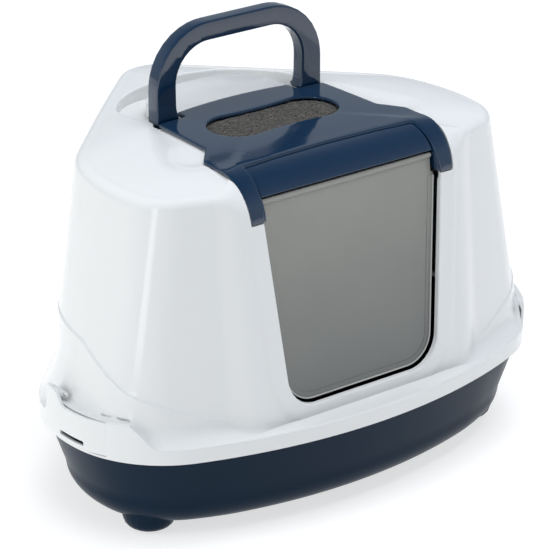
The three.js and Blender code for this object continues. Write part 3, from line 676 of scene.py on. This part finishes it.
# ======== brow profile ========
def brow_profile():
    """The hood's middle section from above the rear of the lid down to the doorway.

    Returns the distance along it from y 0, and y, z and the outward normal there.
    """
    rear_y, foot_z, count, blur = 60.0, BROW_Z - BROW_R - 120, 900, 15
    angles = np.linspace(QUARTER_TURN, 0, 60)
    arc_z = [BROW_Z - BROW_R * (1 - math.sin(a)) for a in angles]
    arc_y = [panel_y(z) + BROW_R * (1 - math.cos(a)) for a, z in zip(angles, arc_z)]
    y, z = np.array([rear_y, 0.0, *arc_y, panel_y(foot_z)]), np.array([BROW_Z, BROW_Z, *arc_z, foot_z])
    s = np.concatenate([[0], np.cumsum(np.hypot(np.diff(y), np.diff(z)))]) - rear_y
    fine_s = np.linspace(s[0], s[-1], count)
    fine_y, fine_z = np.interp(fine_s, s, y), np.interp(fine_s, s, z)
    kernel = np.hanning(blur) / np.hanning(blur).sum()
    dy, dz = (np.convolve(np.gradient(v, fine_s), kernel, "same") for v in (fine_y, fine_z))
    for slope in (dy, dz):
        slope[:8], slope[-8:] = slope[8], slope[-9]
    length = np.hypot(dy, dz)
    return fine_s, fine_y, fine_z, dz / length, -dy / length


PROFILE = brow_profile()


def on_lid(proud):
    """Places (x, v, depth) on the lid's surface: v is y on the flat top, and runs on down the brow."""
    s, profile_y, profile_z, profile_normal_y, profile_normal_z = PROFILE

    def place(x, v, depth):
        y, z = np.interp(-v, s, profile_y), np.interp(-v, s, profile_z)
        normal_y, normal_z = np.interp(-v, s, profile_normal_y), np.interp(-v, s, profile_normal_z)
        crowned = 1 - smooth(-v, 95, 150)
        lift = (top_height(x, y) + scallop_depth(x, y) - BROW_Z) * crowned
        out = proud - depth
        return np.column_stack([x, y + normal_y * out, z + normal_z * out + lift])

    return place


def profile_v(z):
    """The lid coordinate v at which the profile is down to height z."""
    past_flat = 200
    return -float(np.interp(-z, -PROFILE[2][past_flat:], PROFILE[0][past_flat:]))


# ======== materials ========
def shader(name, color, roughness, **inputs):
    """A new material, its nodes and links, and its shader with the named sockets set."""
    material = bpy.data.materials.new(name)
    material.use_nodes = True
    nodes, links = material.node_tree.nodes, material.node_tree.links
    surface = nodes["Principled BSDF"]
    surface.inputs["Base Color"].default_value = (*color, 1)
    surface.inputs["Roughness"].default_value = roughness
    for socket, value in inputs.items():
        surface.inputs[socket.replace("_", " ")].default_value = value
    return material, nodes, links, surface


def noise(nodes, links, scale, detail=2.0, stretch=None):
    """Noise in the object's own coordinates."""
    place = nodes.new("ShaderNodeTexCoord").outputs["Object"]
    if stretch:
        mapping = nodes.new("ShaderNodeMapping")
        mapping.inputs["Scale"].default_value = stretch
        links.new(place, mapping.inputs["Vector"])
        place = mapping.outputs["Vector"]
    texture = nodes.new("ShaderNodeTexNoise")
    texture.inputs["Scale"].default_value = scale
    texture.inputs["Detail"].default_value = detail
    links.new(place, texture.inputs["Vector"])
    return texture.outputs["Fac"]


def height_of(nodes, links, coordinates):
    """The z of the named texture coordinates."""
    split = nodes.new("ShaderNodeSeparateXYZ")
    links.new(nodes.new("ShaderNodeTexCoord").outputs[coordinates], split.inputs["Vector"])
    return split.outputs["Z"]


def ramp(nodes, links, share, low, high, color_low, color_high):
    """A colour that runs from color_low to color_high as share goes from low to high."""
    made = nodes.new("ShaderNodeValToRGB")
    for stop, position, color in zip(made.color_ramp.elements, (low, high), (color_low, color_high)):
        stop.position = position
        stop.color = (*color, 1)
    links.new(share, made.inputs["Fac"])
    return made.outputs["Color"]


def vary(nodes, links, share, low, high):
    made = nodes.new("ShaderNodeMapRange")
    made.inputs["To Min"].default_value = low
    made.inputs["To Max"].default_value = high
    links.new(share, made.inputs["Value"])
    return made.outputs["Result"]


def multiply(nodes, links, first, second):
    """The product of two colours."""
    made = nodes.new("ShaderNodeMix")
    made.data_type = "RGBA"
    made.blend_type = "MULTIPLY"
    made.inputs["Factor"].default_value = 1
    links.new(first, made.inputs[6])
    links.new(second, made.inputs[7])
    return made.outputs[2]


def bump(nodes, links, height, surface, strength, distance):
    made = nodes.new("ShaderNodeBump")
    made.inputs["Strength"].default_value = strength
    made.inputs["Distance"].default_value = distance
    links.new(height, made.inputs["Height"])
    links.new(made.outputs["Normal"], surface.inputs["Normal"])


def plastic(name, color, roughness, spread=0.04, grain=0.00004, tint=0.94, **inputs):
    """Moulded plastic: faint flow marks in its colour and gloss, and a fine orange peel."""
    material, nodes, links, surface = shader(name, color, roughness, **inputs)
    flow = noise(nodes, links, 9, 3, (1, 1, 0.35))
    darker = tuple(c * tint for c in color)
    links.new(ramp(nodes, links, flow, 0.35, 0.68, darker, color), surface.inputs["Base Color"])
    gloss = vary(nodes, links, noise(nodes, links, 60, 4), roughness - spread, roughness + spread)
    links.new(gloss, surface.inputs["Roughness"])
    bump(nodes, links, noise(nodes, links, 420, 2), surface, 0.25, grain)
    return material


def felt_material():
    """Charcoal felt: dark and pale strands, with paler and darker clumps."""
    material, nodes, links, surface = shader("charcoal_felt", (0.055, 0.051, 0.047), 0.95,
                                             Sheen_Weight=0.1, Sheen_Roughness=0.6)
    strands = noise(nodes, links, 520, 5, (1.0, 0.8, 1.0))
    clumps = noise(nodes, links, 190, 3)
    speckle = ramp(nodes, links, strands, 0.36, 0.64, (0.008, 0.0075, 0.008), (0.125, 0.115, 0.10))
    shade = ramp(nodes, links, clumps, 0.3, 0.75, (0.45, 0.45, 0.46), (1.15, 1.12, 1.08))
    links.new(multiply(nodes, links, speckle, shade), surface.inputs["Base Color"])
    links.new(vary(nodes, links, clumps, 0.85, 1.0), surface.inputs["Roughness"])
    bump(nodes, links, strands, surface, 0.9, 0.0012)
    return material


def smoke_material():
    """Smoked clear plastic, with painted light: its colour is painted paler towards the top, for the light
    that comes through from behind it.
    """
    material, nodes, links, surface = shader("smoke_clear", (0.25, 0.245, 0.23), 0.16,
                                             Transmission_Weight=0.12, IOR=1.49)
    # painted light: the colour runs from dark at the sill to pale at the hinge, standing in for the light that
    # comes through the door
    share = nodes.new("ShaderNodeMapRange")
    share.inputs["From Min"].default_value = DOOR_SILL_Z * MM + 0.002
    share.inputs["From Max"].default_value = DOOR_PIVOT_Z * MM
    links.new(height_of(nodes, links, "Object"), share.inputs["Value"])
    shade = ramp(nodes, links, share.outputs["Result"], 0.0, 1.0, (0.165, 0.17, 0.165), (0.31, 0.305, 0.28))
    flow = noise(nodes, links, 14, 3)
    cloud = ramp(nodes, links, flow, 0.3, 0.7, (0.96, 0.96, 0.96), (1.02, 1.02, 1.0))
    links.new(multiply(nodes, links, shade, cloud), surface.inputs["Base Color"])
    links.new(vary(nodes, links, flow, 0.13, 0.2), surface.inputs["Roughness"])
    bump(nodes, links, noise(nodes, links, 240, 2), surface, 0.2, 0.00004)
    return material


white_gloss = plastic("white_gloss", (0.735, 0.74, 0.735), 0.12, 0.02, tint=0.985,
                      Coat_Weight=0.35, Coat_Roughness=0.08)
navy_gloss = plastic("navy_gloss", (0.003, 0.021, 0.055), 0.085, 0.02, Specular_IOR_Level=1.0)
navy_satin = plastic("navy_satin", (0.003, 0.0145, 0.032), 0.32, 0.05, grain=0.00012, Specular_IOR_Level=0.09)
cage_dark = plastic("cage_dark", (0.012, 0.035, 0.095), 0.3)
felt = felt_material()
smoke_clear = smoke_material()
# painted highlight: the door's bead is the same smoked plastic, painted pale for the bright line along its
# edge
smoke_painted_highlight = plastic("smoke_painted_highlight", (0.47, 0.47, 0.45), 0.14, 0.03)


# ======== tray ========
def tray_ring(z, wall_z, extra):
    """The tray's outline at a height: its wall leans in on the way down, more at the sides."""
    rim = FINE.outline(RIM)
    lean = mix(TRAY_LEAN_FRONT, TRAY_LEAN_SIDE, smooth(np.abs(rim[:, 0]), 150, 250))
    inset_by = TRAY_RIM_INSET + lean * max(0, SKIRT_Z + 3 - wall_z) + extra
    return level(rim - FINE.normal * inset_by[:, None], z)


def tray_rings(wall, top_z):
    turn_z, radius = TRAY_FLOOR_Z + TRAY_EDGE_R, TRAY_EDGE_R - wall
    rings = []
    for angle in np.radians(np.linspace(90, 5, 20)):
        inwards = wall + radius * (1 - math.cos(angle))
        rings.append(tray_ring(turn_z - radius * math.sin(angle), turn_z, inwards))
    rings += [tray_ring(z, z, wall) for z in np.linspace(turn_z + 3, SKIRT_Z + 3, 14)]
    return rings + [tray_ring(top_z, top_z, wall)]


def make_tray():
    bowl = loft("bowl", tray_rings(0, TRAY_TOP_Z))
    for x, y in FOOT_PLACES:
        carve(bowl, make_foot(x, y), "UNION")
    carve(bowl, loft("bowl_inside", tray_rings(TRAY_THICKNESS, TRAY_TOP_Z + 5)))
    return finished(bowl, navy_satin, "base", "tray_plastic", "base_tray")


def make_foot(x, y):
    """A moulded foot: a round cup with faint ribs round its side."""
    curve = [(FOOT_PAD_R - 1, 0), (FOOT_PAD_R + 2, 0.2), (FOOT_R * 0.7, 1.4), (FOOT_R * 0.84, 3.8),
             (FOOT_R * 0.93, 7.2), (FOOT_R * 0.985, 12), (FOOT_R + 0.4, 20), (FOOT_R + 1, FOOT_TOP_Z)]
    radii, heights = np.array(curve, float).T
    t = np.linspace(0, len(curve) - 1, 30)
    turn = np.linspace(0, FULL_TURN, 144, endpoint=False)
    rings = []
    for r, z in zip(np.interp(t, np.arange(len(curve)), radii), np.interp(t, np.arange(len(curve)), heights)):
        rib = 0.3 * smooth(np.cos(turn * 24), 0.5, 0.95) * smooth(z, 3, 6) * (1 - smooth(z, 22, 26))
        circle = np.column_stack([x + (r + rib) * np.cos(turn), y + (r + rib) * np.sin(turn)])
        rings.append(level(circle, z))
    return loft("foot", rings)


# ======== hood ========
def top_ring(outline, above):
    """The outline on the hood's top, raised by above."""
    return level(outline, top_height(outline[:, 0], outline[:, 1]) + above)


def lip_rings(outline, radius, count, base_z, way):
    """Rings from base_z up to the hood's top, where a rounded lip widens (way -1) or narrows (way 1) them."""
    steps = rounding(radius, LIP_TURN, count)
    return [level(outline, base_z)] + [top_ring(inset(outline, way * out), -down) for out, down in steps]


def groove_tool():
    """The handle's groove: an arch-shaped trench with a rounded outer lip and a rounded island edge."""
    outline = groove_outline(GROOVE_GAP)
    rings = lip_rings(outline, GROOVE_LIP_R, 7, GROOVE_FLOOR_Z, -1)
    mouth = inset(outline, -(GROOVE_LIP_R * (1 - math.cos(LIP_TURN)) + 0.6))
    trench = loft("groove", rings + [top_ring(mouth, 4), level(mouth, ABOVE_TOP_Z)])
    island = lip_rings(island_outline(GROOVE_GAP), ISLAND_LIP_R, 6, ISLAND_BASE_Z, 1)
    return carve(trench, loft("island", island))


def lid_flank(grow, bottom, radii):
    """The lid's right edge from the foot of its leg to its rear corner, grown by grow, with corner radii."""
    corners = ((LID_LEG_HALF, bottom), (127.2, -150), (126.5, -104 + grow), (107, -80 + grow))
    return [(x + grow, y, radius) for (x, y), radius in zip(corners, radii)]


def lid_outline():
    """The lid's outline in plan on its top, running down the brow to the bottoms of its two legs."""
    bottom = profile_v(LID_LEG_BOTTOM_Z)
    right = [(0, BAY_Y, 0), (60, BAY_Y - BAY_BOW * 0.35, 0), (104.5, BAY_Y - BAY_BOW, 3)]
    right.append((109.6, bottom, 1.5))
    right += lid_flank(0, bottom, (1.5, 30, 7, 9))
    right += [(LID_REAR_HALF, LID_CORNER_Y, 2.5), (LID_TONGUE_HALF, LID_CORNER_Y, 1.5),
              (LID_TONGUE_HALF, LID_REAR_Y - LID_TONGUE_BOW, 3)]
    return full_outline(right + tongue(0)[1:])


def rebate_tool():
    """What the lid lies in: its own outline a little larger, cut a little deeper than its underside."""
    bottom = profile_v(LID_LEG_BOTTOM_Z) - LID_GAP
    right = [(0, bottom, 0), *lid_flank(LID_GAP, bottom, (2, 30, 7.5, 8))]
    right.append((LID_REAR_HALF + LID_GAP, GROOVE_FRONT_Y, 0))
    return plate("rebate", full_outline(right, 4), on_lid(REBATE_TOP), REBATE_TOP + 1.6, 0.3, grid=8, steps=1)


def hatch_tool():
    """The opening under the lid, through the hood's top and the upper front."""
    right = [(0, -230, 0), (99, -230, 0), (99, -101, 4), (92, -77.5, 4), (92, 5, 2), (72.4, 5, 1),
             (72.4, LID_REAR_Y + HATCH_GAP - LID_TONGUE_BOW, 2)]
    outline = full_outline(right + tongue(HATCH_GAP)[1:], 6)
    return loft("hatch", [level(outline, z) for z in (HATCH_BASE_Z, ABOVE_TOP_Z)])


def doorway_tool():
    """The doorway, with its front edge rounded."""
    base = doorway_outline(0, 372)
    stages = [(0, 60), *rounding(DOORWAY_EDGE_R, math.radians(80), 6)]
    stages += [(DOORWAY_EDGE_R * 1.1, -3), (DOORWAY_EDGE_R * 1.1, -60)]
    rings = []
    for out, depth in stages:
        outline = inset(base, -out)
        y = panel_y(outline[:, 1]) - MARGIN_PROUD + depth
        rings.append(np.column_stack([outline[:, 0], y, outline[:, 1]]))
    return loft("doorway", rings)


def side_pocket_tools():
    """The latch recesses and the two short slots in the raised ledge in front of each."""
    tools = [plate("pocket", latch_outline(0.7, -0.4), on_side(8), 8 + 3.4, 0.1, grid=12, steps=1)]
    for low_y, high_y in LEDGE_SLOTS_Y:
        slot = rectangle((low_y, -0.8), (high_y, 0.8), 0.7, 2)
        tools.append(plate("slot", slot, slot_place, 9, 0.1, grid=20, steps=1))
    return tools + [mirrored(tool, "left") for tool in tools]


def lid_corner_pockets():
    """Room behind the lid's rear corners, which swing down when it opens."""
    return [side_box("lid_corner_pocket", side, (72.0, 2.3, 346), (104.6, 8.4, 368)) for side in (1, -1)]


def side_curve():
    """The right half of the rim's outline and its normals, in order of y."""
    half = FINE.count // 2 + 1
    rim = FINE.outline(RIM)[:half]
    order = np.argsort(rim[:, 1])
    return rim[order], FINE.normal[:half][order]


SIDE_POINTS, SIDE_NORMALS = side_curve()


def on_side(proud):
    """Places (y, z, depth) on the rim's right side, proud of it by the given amount."""

    def place(y, z, depth):
        x = np.interp(y, SIDE_POINTS[:, 1], SIDE_POINTS[:, 0])
        nx = np.interp(y, SIDE_POINTS[:, 1], SIDE_NORMALS[:, 0])
        ny = np.interp(y, SIDE_POINTS[:, 1], SIDE_NORMALS[:, 1])
        out = proud - depth
        return np.column_stack([x + nx * out, y + ny * out, z])

    return place


def slot_place(y, across, depth):
    """Places (y, across, depth) on the raised ledge, inside the rim's right side."""
    x = np.interp(y, SIDE_POINTS[:, 1], SIDE_POINTS[:, 0])
    return np.column_stack([x - LEDGE_SLOT_INSET + across, y, LEDGE_RAISED_Z + 5 - depth])


def make_hood():
    outer = loft("hood", HoodForm(FINE).rings(SKIRT_Z))
    carve(outer, loft("hood_inside", HoodForm(COARSE, -SKIN, details=False).rings(SKIRT_Z - 6)))
    carve(outer, groove_liner(), "UNION")
    carve(outer, doorway_jamb(), "UNION")
    tools = [groove_tool(), hatch_tool(), rebate_tool(), doorway_tool()]
    for tool in tools + side_pocket_tools() + lid_corner_pockets():
        carve(outer, tool)
    return finished(outer, white_gloss, "hood", "hood_plastic", "hood_shell")


def doorway_jamb():
    """The flange behind the doorway's edge, solid here and opened by the doorway."""

    def place(x, z, depth):
        return np.column_stack([x, panel_y(z) + JAMB_BACK + depth, z])

    return plate("jamb", doorway_outline(2.2, 312, 4), place, JAMB_DEPTH, 0.3, grid=20, steps=1)


def groove_liner():
    """The walls and floor under the groove, which join the hood's skin from below."""
    outline = groove_outline(GROOVE_GAP + SKIN, 6)
    island = island_outline(GROOVE_GAP + SKIN, 6)
    body = loft("liner", [level(outline, GROOVE_FLOOR_Z - SKIN), top_ring(outline, -0.6)])
    return carve(body, loft("liner_island", [level(island, z) for z in (ISLAND_BASE_Z, ABOVE_TOP_Z)]))


# ======== lid ========
def make_lid():
    """The lid's skin with its window, the sunk roll between its legs, the leg walls and the hinge ears."""
    skin = plate("lid", lid_outline(), on_lid(LID_PROUD), LID_PROUD - LID_UNDER, 1.5, grid=4.0,
                 holes=[window_outline(0)], back_radius=0.4)
    roll_outline = rectangle((-ROLL_HALF, profile_v(ROLL_BOTTOM_Z)), (ROLL_HALF, BAY_Y + 4), 0.8, 3, 0.5)
    roll = plate("roll", roll_outline, on_lid(LID_PROUD - ROLL_RECESS), 3.2, 0.6, grid=4.0)
    wall = leg_wall()
    parts = [skin, roll, wall, mirrored(wall, "leg_wall_left")]
    for side in (1, -1):
        parts.append(side_box("ear", side, (86.5, -11, 353.5), (89.1, 3.2, 361.6)))
        parts.append(pin("pin", (side * 87.5, 0, 357), (side * 96, 0, 357), 2.2))
    return finished(join("lid", parts), navy_gloss, "lid", "lid_plastic", "flip_lid")


def leg_wall():
    """The side wall inside the right leg, which the door's pin turns in."""
    s, y, z, normal_y, normal_z = PROFILE
    arc = np.linspace(-profile_v(352), -profile_v(LID_LEG_BOTTOM_Z + 1), 24)
    front_y = np.interp(arc, s, y) + np.interp(arc, s, normal_y) * 0.6
    front_z = np.interp(arc, s, z) + np.interp(arc, s, normal_z) * 0.6
    back = [(front_y[-1] + 7.5, front_z[-1] + 0.5), (-158.5, 331), (-158.5, 342), (-150, front_z[0])]
    outline = resampled(np.vstack([np.column_stack([front_y, front_z]), back]), 3)
    return plate("leg_wall", outline, facing_right(LEG_WALL_X), 2.6, 0.5, grid=6, steps=2)


# ======== handle ========
def make_handle():
    toe = HANDLE_INNER_HALF - HANDLE_TOE - 0.5
    outer = [(HANDLE_HALF, HANDLE_FOOT_Z, 1.5), (HANDLE_HALF, HANDLE_TOP_Z, HANDLE_SHOULDER_R)]
    inner = [(-toe, HANDLE_FOOT_Z, 1.5), (-HANDLE_INNER_HALF + 0.6, HANDLE_FOOT_Z + 13, 22),
             (-HANDLE_INNER_HALF, HANDLE_INNER_TOP_Z, HANDLE_INNER_R)]
    outline = rounded(outer + mirror(outer) + inner + mirror(inner), 3)
    parts = [plate("arch", outline, facing_front(HANDLE_Y - HANDLE_DEPTH / 2), HANDLE_DEPTH, 2.0,
                   grid=7, back_radius=4.5)]
    for side in (1, -1):
        neck_top = (98, HANDLE_Y + 6, HANDLE_FOOT_Z + 3)
        parts.append(side_box("neck", side, (86, HANDLE_Y - 6, 349), neck_top, 1.5))
        pin_ends = [(side * x, HANDLE_Y, HANDLE_PIVOT_Z) for x in (97, 110)]
        parts.append(pin("pin", *pin_ends, 3.5))
    return finished(join("handle", parts), navy_gloss, "handle", "handle_plastic", "carry_handle")


# ======== door ========
def on_door(out):
    """Places (x, z, depth) on the door's leaning plane, proud of its face by out."""

    def place(x, z, depth):
        y = DOOR_PIVOT_Y - DOOR_THICKNESS / 2 + PANEL_LEAN * (z - DOOR_PIVOT_Z) - out + depth
        return np.column_stack([x, y, z])

    return place


def door_corner(shrink):
    """The door's lower right corner, shrink inside its edge."""
    z = DOOR_SILL_Z + DOOR_GAP + shrink
    return (doorway_half(z, -DOOR_GAP - shrink), z, DOOR_CORNER_R - DOOR_GAP - shrink)


def door_border(outer, inner):
    """A strip along the door's sides and lower edge, between two distances inside its edge."""
    top_z = DOOR_NOTCH_Z - 2
    outside, inside_edge = ([door_corner(shrink), (doorway_half(top_z, -DOOR_GAP - shrink), top_z, 0)]
                            for shrink in (outer, inner))
    right = outside + inside_edge[::-1]
    return rounded(right + mirror(right), 3)


def door_pin(name, half, radius):
    return pin(name, (-half, DOOR_PIVOT_Y, DOOR_PIVOT_Z), (half, DOOR_PIVOT_Y, DOOR_PIVOT_Z), radius)


def make_door():
    """The smoked sheet with a raised band along its edge, a bead on that painted pale as a painted highlight,
    and its hinge.
    """
    right = [(0, DOOR_SILL_Z + DOOR_GAP, 0), door_corner(0)]
    right += [(doorway_half(DOOR_NOTCH_Z, -DOOR_GAP), DOOR_NOTCH_Z, 2),
              (DOOR_TOP_HALF, DOOR_NOTCH_Z + 2, 2), (DOOR_TOP_HALF, DOOR_PIVOT_Z, 1.2)]
    sheet = plate("sheet", full_outline(right, 3), on_door(0), DOOR_THICKNESS, 0.9, grid=9)
    band = plate("band", door_border(0.1, 7), on_door(0.7), 1.2, 0.5, grid=12)
    bead = plate("door_bead", door_border(0.2, 1.7), on_door(1.7), 1.6, 0.6, grid=12)
    door = join("door", [sheet, band, door_pin("barrel", DOOR_TOP_HALF, 3.0), door_pin("pins", 106, 1.8)])
    # the bead's pale colour is a painted highlight along the door's edge
    finished(bead, smoke_painted_highlight, "door", "door_plastic")
    return finished(door, smoke_clear, "door", "door_plastic", "swing_door")


# ======== filter ========
def make_filter_pad():
    """A needled felt pad, its face crowned up into the lid's window and uneven all over."""
    random = np.random.default_rng(7)
    waves = []
    for _ in range(60):
        waves.append((random.uniform(-1.6, 1.6, 2), random.uniform(0, 6.28), random.uniform(0.04, 0.12)))

    def place(u, v, depth):
        lump = sum(size * np.sin(u * k[0] + v * k[1] + phase) for k, phase, size in waves) * 0.6
        edge = np.maximum(np.hypot(np.maximum(np.abs(u) - 44, 0), v - WINDOW_Y) / WINDOW_LOBE_R, 0)
        crown = FELT_CROWN * (1 - smooth(edge, 0.80, 1.02))
        return np.column_stack([u, v, FILTER_TOP_Z - 0.4 - depth + (lump + crown) * (depth < 1)])

    pad = plate("filter_felt", window_outline(3.4), place, FILTER_THICKNESS - 0.6, 1.2, grid=1.8)
    finished(pad, felt, "filter", "filter_felt", "filter_pad")
    return pad


# ======== side latches ========
def latch_outline(grow, front_grow=0):
    """Side view (y, z): a low clip in front and a tall hinged tab behind, joined by an S step."""
    low_y, high_y = LATCH_Y[0] - front_grow, LATCH_Y[1] + grow
    bottom, low_top, tall_top = LATCH_Z[0] - grow, LATCH_Z[1] + grow, LATCH_Z[2] + grow
    step = [(LATCH_STEP_Y + 5, tall_top, 5), (LATCH_STEP_Y - 6, low_top, 8)]
    return rounded([(low_y, bottom, 2), (high_y, bottom, 3), (high_y, tall_top, 5), *step,
                    (low_y, low_top, 2)], 2.5)


def on_latch(y, z, depth):
    """Proud of the rim at its hinged end, and sinking flush with it at its front end."""
    sink = LATCH_PROUD * (1 - smooth(y, LATCH_Y[0], LATCH_Y[0] + LATCH_SINK))
    return on_side(LATCH_PROUD)(y, z, depth + sink)


def make_latch():
    """The right latch with its slot, hinge pin and arms, and its mirror image on the left."""
    slot = rectangle(LATCH_SLOT_LOW, LATCH_SLOT_HIGH, 1.5, 2)
    shell = plate("latch", latch_outline(0), on_latch, LATCH_PROUD - LATCH_INSIDE, 0.7, grid=4,
                  holes=[slot], back_radius=0.3)
    hinge = pin("hinge", (LATCH_HINGE_X, -69.5, LATCH_HINGE_Z), (LATCH_HINGE_X, -40.5, LATCH_HINGE_Z), 1.8)
    arms = box("arms", (265.8, LATCH_STEP_Y + 3, 138.5), (274.2, LATCH_Y[1] - 3, 143.5), 0.6)
    right = join("latch_right", [shell, hinge, arms])
    left = mirrored(right, "latch_left")
    finished(right, white_gloss, "latch_right", "latch_plastic", "side_latch_right")
    finished(left, white_gloss, "latch_left", "latch_plastic", "side_latch_left")


make_tray()
make_hood()
make_lid()
make_handle()
make_door()
make_filter_pad()
make_latch()
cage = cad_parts["filter_cage"]
cage.data.materials.clear()
cage.data.materials.append(cage_dark)


# ======== studio ========
def studio():
    """A pale floor that glows a little, and a sky that is pale at the horizon and dark above."""
    floor_material = shader("studio_floor", (0.5, 0.5, 0.5), 0.9, Emission_Color=(1, 1, 1, 1),
                            Emission_Strength=0.66, Specular_IOR_Level=0.1)[0]
    corners = [(x * FLOOR_HALF, y * FLOOR_HALF, 0) for x, y in ((-1, -1), (1, -1), (1, 1), (-1, 1))]
    floor = make_object("floor", corners, [(0, 1, 2, 3)])
    floor.location.z = -0.0004
    floor.data.materials.append(floor_material)
    world = bpy.data.worlds.new("studio")
    bpy.context.scene.world = world
    world.use_nodes = True
    nodes, links = world.node_tree.nodes, world.node_tree.links
    background = nodes["Background"]
    background.inputs["Strength"].default_value = 0.44
    height = height_of(nodes, links, "Generated")
    sky = ramp(nodes, links, height, 0.40, 0.9, (0.93, 1.02, 1.1), (0.16, 0.21, 0.28))
    links.new(sky, background.inputs["Color"])


def area_light(name, place, target, size, power, color=(1, 1, 1), glossy=True, diffuse=True):
    """A soft box. One without glossy lights the object but isn't mirrored in it."""
    data = bpy.data.lights.new(name, "AREA")
    data.shape = "RECTANGLE"
    data.size, data.size_y = size
    data.energy = power
    data.color = color
    lamp = bpy.data.objects.new(name, data)
    bpy.context.scene.collection.objects.link(lamp)
    lamp.location = place
    lamp.rotation_euler = (Vector(target) - Vector(place)).to_track_quat("-Z", "Y").to_euler()
    lamp.visible_glossy = glossy
    lamp.visible_diffuse = diffuse
    lamp.visible_camera = False


def camera():
    """Set level with the studio's horizon, a little above the lid, and to the left of the front."""
    data = bpy.data.cameras.new("camera")
    data.lens = CAMERA_LENS
    data.sensor_width = 36
    data.clip_end = 50
    cam = bpy.data.objects.new("camera", data)
    bpy.context.scene.collection.objects.link(cam)
    bpy.context.scene.camera = cam
    ahead = Vector(CAMERA_AHEAD).normalized()
    right = ahead.cross(Vector((0, 0, 1))).normalized()
    turn = Matrix((right, right.cross(ahead), -ahead)).transposed().to_4x4()
    cam.matrix_world = Matrix.Translation(CAMERA_PLACE) @ turn


studio()
camera()
area_light("left", (-2.6, 0.5, 1.0), (0, 0, 0.2), (1.6, 1.6), 26, (1.0, 1.0, 0.96), glossy=False)
area_light("top", (0.1, -0.4, 2.6), (0, 0, 0.3), (2.4, 2.0), 66, (0.94, 0.96, 1.0), glossy=False)
area_light("right", (2.4, -0.6, 1.0), (0, 0, 0.2), (1.4, 1.2), 5, (0.86, 0.92, 1.0), glossy=False)
area_light("corner_sheen", (-1.15, -0.62, 0.42), (-0.2, -0.1, 0.25), (0.22, 0.8), 1.1, diffuse=False)
bpy.context.scene.view_settings.view_transform = "Standard"
